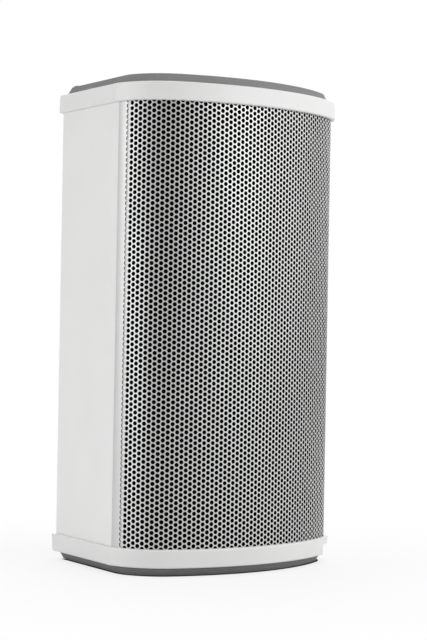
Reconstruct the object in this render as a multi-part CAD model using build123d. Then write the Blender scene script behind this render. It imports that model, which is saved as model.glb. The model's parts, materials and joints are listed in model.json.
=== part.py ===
from build123d import *
import os
from math import acos, cos, degrees, radians, sin, sqrt, tan

# Compact two-way PA wall loudspeaker: an extruded aluminium cabinet with a curved perforated
# steel front, moulded end caps, grey end pads, and a 100 V line transformer inside.
# Millimetres. +Z is up, the front faces -Y, +X is to the right of someone facing the front.
# The origin is under the middle of the cabinet, on the surface it stands on.
# A "depth" is measured rearwards from the foremost line of the cabinet's curved front.

# Overall cabinet
TOTAL_HEIGHT = 278.0
BODY_DEPTH = 120.0
PAD_HEIGHT = 5.0
CAP_HEIGHT = 10.3
CAP_OVERHANG = 2.5

# Plan of the cabinet: a large front arc, two corner arcs, a crease, and sides that taper inwards
FRONT_RADIUS = 133.0
FRONT_HALF_ANGLE = 26.7
CORNER_RADIUS = 32.6
CORNER_END_ANGLE = 95.2
SIDE_ANGLE = 105.6
REAR_CORNER_RADIUS = 3.0

# Shell extrusion
WALL = 2.0
FLANGE_ANGLE = 80.6
FLANGE_WALL = 2.0
ROOT_ANGLE = 88.0
ROOT_REACH = 6.5
PORT_RADIUS = 4.0
PORT_HOLE = 1.75
RIB_WALL = 2.0
RIB_REACH = 6.0
SLOT_DEPTH = 48.0
SLOT_WIDTH = 3.2
PORTS = [(53.2, 114.4), (68.3, 58.6)]

# Front grille, whose edges hook inwards into the shell at both creases, and the cloth behind it
SHEET = 0.6
SHEET_GAP = 0.05
HOOK_REACH = 4.5
HOOK_ANGLE = degrees(SHEET / CORNER_RADIUS)
HOOK_GAP = 0.3
CREASE_GAP = 0.15
CLOTH = 0.8
EDGE_CLEARANCE = 0.3

# End caps and pads
CAP_DRAFT = 0.5
CAP_EDGE_ROUND = 0.8
CAP_FLOOR = 5.0
CAP_FLOOR_CORE = 2.0
CORE_INSET = 14.0
POCKET_GAP = 0.15
PAD_RECESS = 1.2
PAD_INSET = 4.5
PAD_TOP_INSET = 7.0
PAD_GAP = 0.4
PAD_EDGE_ROUND = 0.5
PAD_CREASE_ROUND = 24.0
FOOT_HEIGHT = 0.6
FOOT_INSET = 1.0
GASKET = 1.0
GASKET_WIDTH = 3.4
NOTCH_HEIGHT = 6.2
NOTCH_CUT = 3.3
NOTCH_ROUND = 1.8
NOTCH_ANGLE = 45.0
PIP_RADIUS = 3.0
PIP_HEIGHT = 0.6
PIP_INSET = 2.0

# Baffle: a moulded hat section that slides into the shell's slots. CUT is how far a drill runs past a face.
BAFFLE_DEPTH = 20.0
BAFFLE_WALL = 4.0
BAFFLE_WEB = 3.0
BAFFLE_HALF_WIDTH = 60.0
BAFFLE_FOOT = 73.2
BAFFLE_WEB_FOOT = 66.0
CUT = 1.0

# Woofer
WOOFER_Z = 100.0
WOOFER_FLANGE = 57.0
WOOFER_CUTOUT = 47.2
WOOFER_SCREW_CIRCLE = 53.0
WOOFER_TRAVEL = 3.0

# Tweeter
TWEETER_Z = 205.0
TWEETER_FLANGE = 33.0
TWEETER_CUTOUT = 26.0
TWEETER_SCREW_CIRCLE = 29.0

# Screws, the room round a screw that passes freely, and the room in a hole that its thread bites
THREAD_FIT = 0.05
CLEARANCE = 0.25
SCREW_HEAD = 3.4
SCREW_HEAD_HEIGHT = 2.2
SCREW_SHANK = 1.7
SMALL_HEAD = 2.7
SMALL_HEAD_HEIGHT = 1.8
SMALL_SHANK = 1.4
CROSS_WIDTH = 0.9
CROSS_DEPTH = 1.1
FLAT_HEAD = 2.9
FLAT_HEAD_HEIGHT = 1.5
CAP_SCREW_LENGTH = 18.0
DRIVER_SCREW_LENGTH = 12.0
SMALL_SCREW_LENGTH = 8.0
COUNTERBORE = 2.4

# Rear terminal tray
TRAY_Z = 85.0
TRAY_WIDTH = 80.0
TRAY_HEIGHT = 60.0
TRAY_DEPTH = 24.0
TRAY_WALL = 2.0
TRAY_FLANGE = 6.0
TRAY_FLANGE_WALL = 1.6
TRAY_SCREW_REACH = 5.0
TRAY_CUTOUT_GAP = 2.5
TRAY_ROUND = 3.0
TRAY_SEAL = 0.5
BLOCK_X = -20.0
KNOB_X = 21.0
KNOB_Z = 90.0
KNOB_RADIUS = 10.5
KNOB_HEIGHT = 11.0
KNOB_LIFT = 5.0
FLUTES = 16
FLUTE_RADIUS = 1.2
POINTER_SIZE = (1.6, 1.3, 8.2)
POINTER_MIDDLE = 4.6
SHAFT_SUNK = 9.0
SHAFT_LENGTH = 21.0
BUSH_LENGTH = 4.0
SHAFT_RADIUS = 3.0
BUSH_RADIUS = 4.5
POLES = (-9.0, 0.0, 9.0)
POLE_SCREW = 4.5
CLAMP_Z = 61.5
CLAMP_LIFT = 9.0
CLAMP_WALL = 3.0
CLAMP_LENGTH = 26.0
CLAMP_WIDTH = 7.0
CLAMP_POSTS = (-9.5, 9.5)
CLAMP_POST_RADIUS = 3.2
CABLE_RADIUS = 4.0
CABLE_SQUEEZE = 1.2
WIRE_HOLE = 1.4
BLOCK_SIZE = (30.0, 13.0, 18.0)
SLEEVE_DEPTH = 6.0
SLEEVE_LENGTH = 16.0
SLEEVE_RADIUS = 2.55
SLEEVE_BORE = 1.7
POLE_SCREW_SIZES = (2.0, 1.6, 1.4, 2.8)
POLE_SCREW_LIFT = 10.6
SWITCH_RADIUS = 13.0
SWITCH_DEPTH = 14.0
NUT_RADIUS = 7.0
NUT_WALL = 2.4

# Rear fixing inserts, M6
INSERT_SPACING = 60.0
INSERT_Z = 164.0
INSERT_BORE = 2.5
INSERT_BARREL = 4.5
INSERT_FLANGE = 6.5
INSERT_FLANGE_WALL = 1.0
INSERT_LENGTH = 13.0
INSERT_CRIMP = 2.5

# Crossover board
BOARD_Z = 164.0
BOARD_WIDTH = 76.0
BOARD_HEIGHT = 42.0
BOARD_WALL = 1.6
STANDOFF_HEIGHT = 8.0
STANDOFF_RADIUS = 3.0
BOARD_HOLE_INSET = 4.0
CHOKE_X = -18.0
CHOKE_HEIGHT = 16.0
CHOKE_CHEEK = 1.5
CHOKE_CHEEK_RADIUS = 11.0
CHOKE_WINDING_RADIUS = 10.0
CHOKE_CORE_RADIUS = 5.0
CAPACITOR_SIZE = (26.0, 16.0, 11.0)
CAPACITOR_PLACE = (8.0, 2.0)
CAPACITOR_ROUND = 0.8
RESISTOR_SIZE = (9.0, 9.0, 24.0)
RESISTOR_X = 29.0

# Line transformer
TRANSFORMER_Z = 224.0
CORE_WIDTH = 48.0
CORE_LENGTH = 40.0
CORE_STACK = 16.0
LIMB = 8.0
WINDOW_LENGTH = 24.0
BOBBIN_GAP = 0.1
WINDING_ROUND = 2.5
BRACKET_WALL = 1.0
BRACKET_FOOT = 9.0

# Damping wadding
WOOL_SIZE = (10.0, 42.0, 232.0)
WOOL_DEPTH = 86.0
WOOL_GAP = 1.2
WOOL_ROUND = 2.0

# Solder tabs and internal wires
STRIP_WALL = 1.6
STRIP_MARGIN = 4.0
TAB_SPACING = 12.0
TAB_WIDTH = 4.8
TAB_WALL = 0.8
TAB_LENGTH = 7.0
TAB_OFFSET = 2.0
WIRE_RADIUS = 0.8
WIRE_BEND = 4.0

FRONT_Y = -BODY_DEPTH / 2
BACK_Y = BODY_DEPTH / 2
MID_Z = TOTAL_HEIGHT / 2
CORNER_X = (FRONT_RADIUS - CORNER_RADIUS) * sin(radians(FRONT_HALF_ANGLE))
CORNER_Y = FRONT_Y + FRONT_RADIUS - (FRONT_RADIUS - CORNER_RADIUS) * cos(radians(FRONT_HALF_ANGLE))
RECESS_Z = PAD_HEIGHT + PAD_RECESS
FLOOR_Z = PAD_HEIGHT + PAD_RECESS + CAP_FLOOR
SHELL_BOTTOM = FLOOR_Z + GASKET
SHELL_LENGTH = TOTAL_HEIGHT - 2 * SHELL_BOTTOM
SEAM_Z = PAD_HEIGHT + CAP_HEIGHT
INNER_BACK = BODY_DEPTH - WALL

os.makedirs("parts", exist_ok=True)
parts = {}


# ---------------------------------------------------------------- plan outline

def corner_point(radius, angle):
    """Point at this radius and tangent angle round the right-hand corner arc's centre."""
    return CORNER_X + radius * sin(radians(angle)), CORNER_Y - radius * cos(radians(angle))


def plan_points(offset):
    """Right-hand half of the outline, offset outwards: arc ends, crease, and rear corner points."""
    radius = CORNER_RADIUS + offset
    turn = radians(SIDE_ANGLE - CORNER_END_ANGLE)
    reach = offset + CORNER_RADIUS * cos(turn)
    crease_angle = SIDE_ANGLE - degrees(acos(reach / radius))
    rear_radius = max(REAR_CORNER_RADIUS + offset, 0.4)
    normal = (sin(radians(SIDE_ANGLE)), -cos(radians(SIDE_ANGLE)))
    rear_y = BACK_Y + offset - rear_radius
    # the rear corner's centre lies rear_radius inside the side line and the rear line
    rear_x = CORNER_X + (reach - rear_radius - normal[1] * (rear_y - CORNER_Y)) / normal[0]
    middle = (SIDE_ANGLE + 180) / 2
    return {
        "front_end": corner_point(radius, FRONT_HALF_ANGLE),
        "corner_middle": corner_point(radius, (FRONT_HALF_ANGLE + crease_angle) / 2),
        "crease": corner_point(radius, crease_angle),
        "side_end": (rear_x + rear_radius * normal[0], rear_y + rear_radius * normal[1]),
        "rear_middle": (
            rear_x + rear_radius * sin(radians(middle)),
            rear_y - rear_radius * cos(radians(middle)),
        ),
        "rear_end": (rear_x, rear_y + rear_radius),
    }


def mirrored(point):
    return -point[0], point[1]


def plan_face(offset):
    """The closed plan of the cabinet, offset outwards by this much, as a flat face."""
    p = plan_points(offset)
    edges = [
        ThreePointArc(mirrored(p["front_end"]), (0, FRONT_Y - offset), p["front_end"]),
        ThreePointArc(p["front_end"], p["corner_middle"], p["crease"]),
        Line(p["crease"], p["side_end"]),
        ThreePointArc(p["side_end"], p["rear_middle"], p["rear_end"]),
        Line(p["rear_end"], mirrored(p["rear_end"])),
        ThreePointArc(mirrored(p["rear_end"]), mirrored(p["rear_middle"]), mirrored(p["side_end"])),
        Line(mirrored(p["side_end"]), mirrored(p["crease"])),
        ThreePointArc(mirrored(p["crease"]), mirrored(p["corner_middle"]), mirrored(p["front_end"])),
    ]
    return make_face(edges)


def prism(face, bottom, height):
    """A flat plan face made into a solid that starts at height bottom."""
    return Pos(0, 0, bottom) * extrude(face, height)


def both_sides(shape):
    """The shape and its mirror image in the cabinet's middle plane."""
    return [shape, shape.mirror(Plane.YZ)]


def upside_down(shape):
    """The mirror image of a bottom piece in the cabinet's middle height."""
    return shape.mirror(Plane.XY.offset(MID_Z))


# ---------------------------------------------------------------- helpers for pieces with axes

def facing(depth, x, z):
    """A plane seen from the front, with local x along +X and local y along +Z."""
    return Plane(origin=(x, FRONT_Y + depth, z), x_dir=(1, 0, 0), z_dir=(0, -1, 0))


def slab(depth, thickness, sketch, x=0.0, z=0.0):
    """A sketch drawn as seen from the front, made solid rearwards from this depth."""
    return extrude(facing(depth, x, z) * sketch, -thickness)


def ring(depth, thickness, outer, inner, x=0.0, z=0.0):
    """A flat ring or sleeve whose axis runs from front to back."""
    sketch = Circle(outer)
    if inner > 0:
        sketch = sketch - Circle(inner)
    return slab(depth, thickness, sketch, x, z)


def drilled(shape, depth, thickness, radius, places):
    """The shape with a round hole from front to back at each (x, z) place."""
    for x, z in places:
        shape = shape - ring(depth - CUT, thickness + 2 * CUT, radius, 0, x, z)
    return shape


def turned(points, z, x=0.0):
    """A solid turned round a front-to-back axis, from a closed list of (radius, depth)."""
    path = [(r, FRONT_Y + d) for r, d in points]
    profile = make_face(Polyline(*path, close=True))
    solid = revolve(profile, Axis((0, 0, 0), (0, 1, 0)))
    return Pos(x, 0, z) * solid


def block(x, depth, z, width, thickness, height):
    """A box by its centre in x and z and its front depth."""
    return Pos(x, FRONT_Y + depth + thickness / 2, z) * Box(width, thickness, height)


def cross_recess(head_radius):
    """Cross-shaped driver recess, centred on z = 0."""
    arm = head_radius * 1.2
    return Box(arm, CROSS_WIDTH, 2 * CROSS_DEPTH) + Box(CROSS_WIDTH, arm, 2 * CROSS_DEPTH)


def screw(head_radius, head_height, shank_radius, shank_length):
    """A pan head screw: the head's seat is at z = 0, the shank runs down to -shank_length."""
    head = extrude(Circle(head_radius), head_height)
    head = fillet(head.edges().sort_by(Axis.Z)[-1], head_height * 0.45)
    shank = extrude(Circle(shank_radius), -shank_length)
    shank = chamfer(shank.edges().sort_by(Axis.Z)[0], shank_radius * 0.4)
    return (head + shank) - Pos(0, 0, head_height) * cross_recess(head_radius)


def flat_screw(head_radius, head_height, shank_radius, length):
    """A countersunk screw's solid shape: the head's face is at z = 0, the tip at -length."""
    profile = [(0, 0), (head_radius, 0), (head_radius, -0.2), (shank_radius, -head_height),
               (shank_radius, -length), (0, -length)]
    return revolve(make_face(Plane.XZ * Polyline(*profile, close=True)), Axis.Z)


def screws_at(places, driven_along, *sizes):
    """A list of equal screws, each with its shank pointing along driven_along."""
    outwards = tuple(-v for v in driven_along)
    return [Plane(origin=place, z_dir=outwards) * screw(*sizes) for place in places]


def around(count, radius, start=45.0, x=0.0, z=0.0):
    """Evenly spaced (x, z) places on a circle round the place given."""
    step = 360 / count
    angles = [radians(start + i * step) for i in range(count)]
    return [(x + radius * cos(a), z + radius * sin(a)) for a in angles]


def wire(points, bend):
    """A round wire of straight runs and bends between (x, depth, z) points."""
    path = FilletPolyline(*[(x, FRONT_Y + d, z) for x, d, z in points], radius=bend)
    start = Plane(origin=path @ 0, z_dir=path % 0)
    return sweep(start * Circle(WIRE_RADIUS), path)


# ---------------------------------------------------------------- cabinet shell

def sector(inner, outer, first, last):
    """A piece of ring round the right-hand corner centre, between two tangent angles."""
    middle = (first + last) / 2
    edges = [
        ThreePointArc(*[corner_point(outer, a) for a in (first, middle, last)]),
        Line(corner_point(outer, last), corner_point(inner, last)),
        ThreePointArc(*[corner_point(inner, a) for a in (last, middle, first)]),
        Line(corner_point(inner, first), corner_point(outer, first)),
    ]
    return make_face(edges)


def shell_section():
    """The extrusion's cross-section: open front, grille flanges and slots, ribs and screw ports."""
    far = corner_point(BODY_DEPTH, CORNER_END_ANGLE)
    beyond = FRONT_Y - BODY_DEPTH
    opening = make_face(
        Polyline((CORNER_X, CORNER_Y), far, (far[0], beyond), (-far[0], beyond),
                 mirrored(far), (-CORNER_X, CORNER_Y), close=True)
    )
    seat = CORNER_RADIUS - SHEET - SHEET_GAP
    wall_x = CORNER_X + CORNER_RADIUS - WALL
    rib = Rectangle(RIB_REACH, RIB_WALL)
    solid_parts = [
        sector(seat - FLANGE_WALL, seat, FLANGE_ANGLE, CORNER_END_ANGLE),
        sector(CORNER_RADIUS - ROOT_REACH, seat, ROOT_ANGLE, CORNER_END_ANGLE + 3),
        Pos(wall_x - RIB_REACH / 2, FRONT_Y + SLOT_DEPTH - RIB_WALL / 2) * rib,
        Pos(wall_x - RIB_REACH / 2, FRONT_Y + SLOT_DEPTH + SLOT_WIDTH + RIB_WALL / 2) * rib,
    ]
    solid_parts += [Pos(x, FRONT_Y + depth) * Circle(PORT_RADIUS) for x, depth in PORTS]
    hook_start = CORNER_END_ANGLE - HOOK_ANGLE - 3 * CREASE_GAP
    hollow_parts = [
        sector(CORNER_RADIUS - HOOK_REACH - HOOK_GAP, CORNER_RADIUS + 1, hook_start, CORNER_END_ANGLE)
    ]
    hollow_parts += [Pos(x, FRONT_Y + depth) * Circle(PORT_HOLE) for x, depth in PORTS]
    section = plan_face(0) - plan_face(-WALL) - opening
    for part in solid_parts:
        for half in both_sides(part):
            section = section + half
    for part in hollow_parts:
        for half in both_sides(part):
            section = section - half
    return section


def insert_places():
    half = INSERT_SPACING / 2
    return [(x, INSERT_Z + z) for x in (-half, half) for z in (-half, half)]


def tray_screw_places():
    x = TRAY_WIDTH / 2 + TRAY_SCREW_REACH
    z = TRAY_HEIGHT / 2 + TRAY_SCREW_REACH
    return [(sx * x, TRAY_Z + sz * z) for sx in (-1, 1) for sz in (-1, 1)]


def tray_cutout():
    return Rectangle(TRAY_WIDTH + 2 * TRAY_CUTOUT_GAP, TRAY_HEIGHT + 2 * TRAY_CUTOUT_GAP)


def bracket_screw_places():
    x = CORE_WIDTH / 2 + BRACKET_WALL + BRACKET_FOOT / 2
    return [(-x, TRANSFORMER_Z), (x, TRANSFORMER_Z)]


def body_shell():
    """The extrusion cut to length, with the tray's opening and the holes in its rear wall."""
    shell = prism(shell_section(), SHELL_BOTTOM, SHELL_LENGTH)
    shell = shell - slab(INNER_BACK - CUT, WALL + 2 * CUT, tray_cutout(), z=TRAY_Z)
    shell = drilled(shell, INNER_BACK, WALL, INSERT_BARREL + 2 * THREAD_FIT, insert_places())
    shell = drilled(shell, INNER_BACK, WALL, SMALL_SHANK + THREAD_FIT, tray_screw_places())
    return drilled(shell, INNER_BACK, WALL, SCREW_SHANK + THREAD_FIT, bracket_screw_places())


parts["body_shell"] = body_shell()


# ---------------------------------------------------------------- grille and cloth

def curved_sheet(outer_offset, thickness, end_angle, bottom, height):
    """A sheet that follows the front arc and both corner arcs, up to end_angle each side."""
    outer = CORNER_RADIUS + outer_offset
    inner = outer - thickness
    mid = (FRONT_HALF_ANGLE + end_angle) / 2
    front_outer = FRONT_Y - outer_offset
    o1, o2, o3 = [corner_point(outer, a) for a in (FRONT_HALF_ANGLE, mid, end_angle)]
    i1, i2, i3 = [corner_point(inner, a) for a in (FRONT_HALF_ANGLE, mid, end_angle)]
    edges = [
        ThreePointArc(mirrored(o1), (0, front_outer), o1),
        ThreePointArc(o1, o2, o3),
        Line(o3, i3),
        ThreePointArc(i3, i2, i1),
        ThreePointArc(i1, (0, front_outer + thickness), mirrored(i1)),
        ThreePointArc(mirrored(i1), mirrored(i2), mirrored(i3)),
        Line(mirrored(i3), mirrored(o3)),
        ThreePointArc(mirrored(o3), mirrored(o2), mirrored(o1)),
    ]
    return prism(make_face(edges), bottom, height)


def front_grille():
    """The grille's sheet, with both side edges folded inwards. Its holes are not cut."""
    end = CORNER_END_ANGLE - CREASE_GAP
    grille = curved_sheet(0, SHEET, end, SHELL_BOTTOM, SHELL_LENGTH)
    fold = sector(CORNER_RADIUS - HOOK_REACH, CORNER_RADIUS - SHEET / 2, end - HOOK_ANGLE, end)
    for hook in both_sides(prism(fold, SHELL_BOTTOM, SHELL_LENGTH)):
        grille = grille + hook
    return grille


parts["front_grille"] = front_grille()
parts["grille_cloth"] = curved_sheet(
    -SHEET - SHEET_GAP, CLOTH, FLANGE_ANGLE - 0.5, SHELL_BOTTOM, SHELL_LENGTH
)


# ---------------------------------------------------------------- end caps, gaskets, pads

def drafted(face_low, face_high, bottom, height):
    """A solid lofted between two parallel plan outlines."""
    return loft([Pos(0, 0, bottom) * face_low, Pos(0, 0, bottom + height) * face_high])


def cap_screw_places():
    return [(sx * x, FRONT_Y + depth) for x, depth in PORTS for sx in (1, -1)]


def bottom_cap_blank():
    """Cap: drafted outer wall, floor with a cored middle, pad recess below, shell pocket above."""
    cap = drafted(plan_face(CAP_OVERHANG - CAP_DRAFT), plan_face(CAP_OVERHANG), PAD_HEIGHT, CAP_HEIGHT)
    rims = cap.edges().group_by(Axis.Z)
    cap = fillet(rims[0] + rims[-1], CAP_EDGE_ROUND)
    cap = cap - prism(plan_face(POCKET_GAP), FLOOR_Z, CAP_HEIGHT)
    cap = cap - prism(plan_face(-CORE_INSET), FLOOR_Z - CAP_FLOOR_CORE, CAP_HEIGHT)
    recess = plan_face(CAP_OVERHANG - PAD_INSET + PAD_GAP)
    cap = cap - prism(recess, 0, RECESS_Z)
    for x, y in cap_screw_places():
        cap = cap - Pos(x, y, FLOOR_Z) * Cylinder(SCREW_SHANK + CLEARANCE, 3 * CAP_FLOOR)
        cap = cap - Pos(x, y, RECESS_Z) * Cylinder(SCREW_HEAD + CLEARANCE, 2 * COUNTERBORE)
    return cap


def corner_notch():
    """A flat cut across the right front corner, under the cap's lip, with a hollow rounded top."""
    plane_radius = CORNER_RADIUS + CAP_OVERHANG - NOTCH_CUT
    cx, cy = corner_point(plane_radius, NOTCH_ANGLE)
    cut = Pos(0, 2 * NOTCH_CUT, 0) * Box(2 * plane_radius, 4 * NOTCH_CUT, 2 * NOTCH_HEIGHT)
    top_edge = cut.edges().filter_by(Axis.X).group_by(Axis.Z)[-1].sort_by(Axis.Y)[0]
    cut = fillet(top_edge, NOTCH_ROUND)
    return Pos(cx, cy, PAD_HEIGHT) * Rot(0, 0, NOTCH_ANGLE - 180) * cut


def soft_face(offset):
    """The plan with its two creases smoothed away, as the pads have it."""
    face = plan_face(offset)
    crease_y = plan_points(offset)["crease"][1]
    creases = [corner for corner in face.vertices() if abs(corner.Y - crease_y) < PAD_EDGE_ROUND]
    return fillet(creases, PAD_CREASE_ROUND)


def pad_blank():
    """Grey end pad with sloping sides, its upper part sunk in the cap's recess."""
    base = soft_face(CAP_OVERHANG - PAD_INSET)
    tread = soft_face(CAP_OVERHANG - PAD_TOP_INSET)
    pad = drafted(tread, base, 0, PAD_HEIGHT)
    pad = fillet(pad.edges().group_by(Axis.Z)[0], PAD_EDGE_ROUND)
    return pad + prism(base, PAD_HEIGHT, PAD_RECESS)


def standing_pad():
    """The lower pad, which stands on a slightly smaller foot so that its edge clears the floor."""
    foot = prism(soft_face(CAP_OVERHANG - PAD_TOP_INSET - FOOT_INSET), 0, FOOT_HEIGHT)
    floor_layer = prism(plan_face(CAP_OVERHANG), 0, FOOT_HEIGHT)
    return pad_blank() - (floor_layer - foot)


def cap_gasket():
    """Flat foam seal between the shell's end and the cap's floor."""
    return prism(plan_face(0) - plan_face(-GASKET_WIDTH), FLOOR_Z, GASKET)


def pip():
    """Small raised mark at the rear left corner of the top pad."""
    p = plan_points(CAP_OVERHANG - PAD_TOP_INSET)
    x, y = p["rear_end"]
    sunk = PIP_HEIGHT / 3
    place = Pos(PIP_INSET - x, y - PIP_RADIUS - PIP_HEIGHT, TOTAL_HEIGHT - sunk)
    dot = place * extrude(Circle(PIP_RADIUS), PIP_HEIGHT + sunk)
    return fillet(dot.edges().sort_by(Axis.Z)[-1], PIP_HEIGHT * 0.8)


parts["bottom_end_cap"] = bottom_cap_blank() - corner_notch()
parts["top_end_cap"] = upside_down(bottom_cap_blank())
parts["bottom_cap_gasket"] = cap_gasket()
parts["top_cap_gasket"] = upside_down(cap_gasket())
parts["bottom_pad"] = standing_pad()
parts["top_pad"] = upside_down(pad_blank()) + pip()

seat_z = RECESS_Z + COUNTERBORE
screw_sizes = (SCREW_HEAD, SCREW_HEAD_HEIGHT, SCREW_SHANK, CAP_SCREW_LENGTH)
low_screws = screws_at([(x, y, seat_z) for x, y in cap_screw_places()], (0, 0, 1), *screw_sizes)
parts["cap_screws"] = Compound(children=low_screws + [upside_down(s) for s in low_screws])


# ---------------------------------------------------------------- baffle

def baffle_section():
    """Hat section: front plate, sloping webs, and feet in the shell's slots."""
    face = BAFFLE_DEPTH
    back = BAFFLE_DEPTH + BAFFLE_WALL
    foot = SLOT_DEPTH + (SLOT_WIDTH - BAFFLE_WEB) / 2
    right = [
        (BAFFLE_HALF_WIDTH, face),
        (BAFFLE_WEB_FOOT + BAFFLE_WEB, foot),
        (BAFFLE_FOOT, foot),
        (BAFFLE_FOOT, foot + BAFFLE_WEB),
        (BAFFLE_WEB_FOOT, foot + BAFFLE_WEB),
        (BAFFLE_HALF_WIDTH - BAFFLE_WEB, back),
    ]
    left = [(-x, d) for x, d in reversed(right)]
    points = [(x, FRONT_Y + d) for x, d in right + left]
    return make_face(Polyline(*points, close=True))


def woofer_screw_places():
    return around(4, WOOFER_SCREW_CIRCLE, z=WOOFER_Z)


def tweeter_screw_places():
    return around(4, TWEETER_SCREW_CIRCLE, z=TWEETER_Z)


def baffle():
    """The moulded hat section, with both driver openings and their screw holes."""
    plate = prism(baffle_section(), SHELL_BOTTOM + EDGE_CLEARANCE, SHELL_LENGTH - 2 * EDGE_CLEARANCE)
    plate = drilled(plate, BAFFLE_DEPTH, BAFFLE_WALL, WOOFER_CUTOUT, [(0, WOOFER_Z)])
    plate = drilled(plate, BAFFLE_DEPTH, BAFFLE_WALL, TWEETER_CUTOUT, [(0, TWEETER_Z)])
    places = woofer_screw_places() + tweeter_screw_places()
    return drilled(plate, BAFFLE_DEPTH, BAFFLE_WALL, SMALL_SHANK + THREAD_FIT, places)


parts["baffle"] = baffle()


# ---------------------------------------------------------------- woofer
# Radii and depths of the driver, with depth zero at the baffle's front face.

FLANGE_FRONT = -1.5
FRAME_WALL = 1.0
FRAME_THROAT = 45.8
FRAME_STEP = 3.0
FRAME_SHELF = 35.2
FRAME_CUP = 31.5
FRAME_CUP_MOUTH = 32.0
FRAME_BORE = 14.6
FRAME_WINDOWS = 6
WINDOW_SIZE = (26.0, 11.0, 24.0)
WINDOW_MIDDLE = 12.0
SEAL = 0.5
CLAMP_RING = 1.5
CLAMP_RING_OUTER = 50.0
RIM_INNER = 45.0
SURROUND_WALL = 0.8
ROLL_INNER = 38.5
CONE_RIM = 36.0
CONE_WALL = 0.8
LIP_GAP = 0.2
NECK_DEPTH = 16.8
NECK_LENGTH = 2.2
FORMER_INNER = 12.7
FORMER_OUTER = 13.0
COIL_OUTER = 13.6
POLE_RADIUS = 12.3
SHELF_DEPTH = 21.2
SPIDER_WALL = 0.5
SPIDER_WAVES = 4
SPIDER_FIRST_WAVE = 16.0
SPIDER_LAST_WAVE = 30.0
SPIDER_SWELL = 1.5
SPIDER_RIM = 34.4
DUST_CAP_RADIUS = 15.0
DUST_CAP_RISE = 5.0
DUST_CAP_WALL = 0.6
DUST_CAP_DEPTH = 14.6
FORMER_FRONT = 15.4
FORMER_BACK = 40.0
COIL_LENGTH = 9.0
PLATE_BORE = 14.0
PLATE_RADIUS = 29.0
MAGNET_BORE = 17.0
YOKE_RADIUS = 30.0
PLATE_DEPTH = 31.2
PLATE_WALL = 4.0
MAGNET_WALL = 12.0
MAGNET_RADIUS = 32.0
YOKE_WALL = 4.0


def at_baffle(points):
    """Driver (radius, depth) points moved to the cabinet's own depths."""
    return [(r, BAFFLE_DEPTH + d) for r, d in points]


def woofer_turned(points):
    return turned(at_baffle(points), WOOFER_Z)


def woofer_sleeve(outer, inner, front, back):
    return ring(BAFFLE_DEPTH + front, back - front, outer, inner, z=WOOFER_Z)


def woofer_basket():
    """Stamped steel frame, with windows in its sloping wall."""
    outside = [
        (WOOFER_FLANGE, FLANGE_FRONT), (WOOFER_FLANGE, FLANGE_FRONT + FRAME_WALL),
        (FRAME_THROAT + FRAME_WALL / 2, FLANGE_FRONT + FRAME_WALL), (FRAME_THROAT, FRAME_STEP),
        (FRAME_SHELF, SHELF_DEPTH + FRAME_WALL), (FRAME_CUP_MOUTH, SHELF_DEPTH + FRAME_WALL),
        (FRAME_CUP, PLATE_DEPTH), (FRAME_BORE, PLATE_DEPTH),
    ]
    inside = [
        (FRAME_BORE, PLATE_DEPTH - FRAME_WALL), (FRAME_CUP - FRAME_WALL, PLATE_DEPTH - FRAME_WALL),
        (FRAME_CUP_MOUTH - FRAME_WALL, SHELF_DEPTH), (FRAME_SHELF - FRAME_WALL / 2, SHELF_DEPTH),
        (FRAME_THROAT - FRAME_WALL, FRAME_STEP - FRAME_WALL / 2), (RIM_INNER, FLANGE_FRONT),
    ]
    basket = woofer_turned(outside + inside)
    window = Pos(RIM_INNER, FRONT_Y + BAFFLE_DEPTH + WINDOW_MIDDLE, 0) * Box(*WINDOW_SIZE)
    step = 360 / FRAME_WINDOWS
    for i in range(FRAME_WINDOWS):
        basket = basket - Pos(0, 0, WOOFER_Z) * Rot(0, (i + 0.5) * step, 0) * window
    flange_depth = BAFFLE_DEPTH + FLANGE_FRONT
    return drilled(basket, flange_depth, FRAME_WALL, SMALL_SHANK + CLEARANCE, woofer_screw_places())


def woofer_gaskets():
    """The foam seal under the flange and the card ring that clamps the surround's edge."""
    seal = ring(BAFFLE_DEPTH - SEAL, SEAL, WOOFER_FLANGE - SEAL, WOOFER_CUTOUT + CLEARANCE, z=WOOFER_Z)
    seal = drilled(seal, BAFFLE_DEPTH - SEAL, SEAL, SMALL_SHANK + CLEARANCE, woofer_screw_places())
    clamp_depth = BAFFLE_DEPTH + FLANGE_FRONT - SURROUND_WALL - CLAMP_RING
    clamp = ring(clamp_depth, CLAMP_RING, CLAMP_RING_OUTER, RIM_INNER + 2 * CLEARANCE, z=WOOFER_Z)
    return seal, clamp


def half_roll(inner, outer, lip_in, lip_out, front, wall, z):
    """A half-round roll of rubber, bulging forwards, with a flat lip on each side."""
    centre = (inner + outer) / 2
    big = (outer - inner) / 2
    small = big - wall
    base = FRONT_Y + BAFFLE_DEPTH + front
    edges = [
        Line((lip_in, base - wall), (inner, base - wall)),
        ThreePointArc((inner, base - wall), (centre, base - wall - big), (outer, base - wall)),
        Line((outer, base - wall), (lip_out, base - wall)),
        Line((lip_out, base - wall), (lip_out, base)),
        Line((lip_out, base), (outer - wall, base)),
        Line((outer - wall, base), (outer - wall, base - wall)),
        ThreePointArc(
            (outer - wall, base - wall), (centre, base - wall - small), (inner + wall, base - wall)
        ),
        Line((inner + wall, base - wall), (inner + wall, base)),
        Line((inner + wall, base), (lip_in, base)),
        Line((lip_in, base), (lip_in, base - wall)),
    ]
    solid = revolve(make_face(edges), Axis((0, 0, 0), (0, 1, 0)))
    return Pos(0, 0, z) * solid


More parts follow.
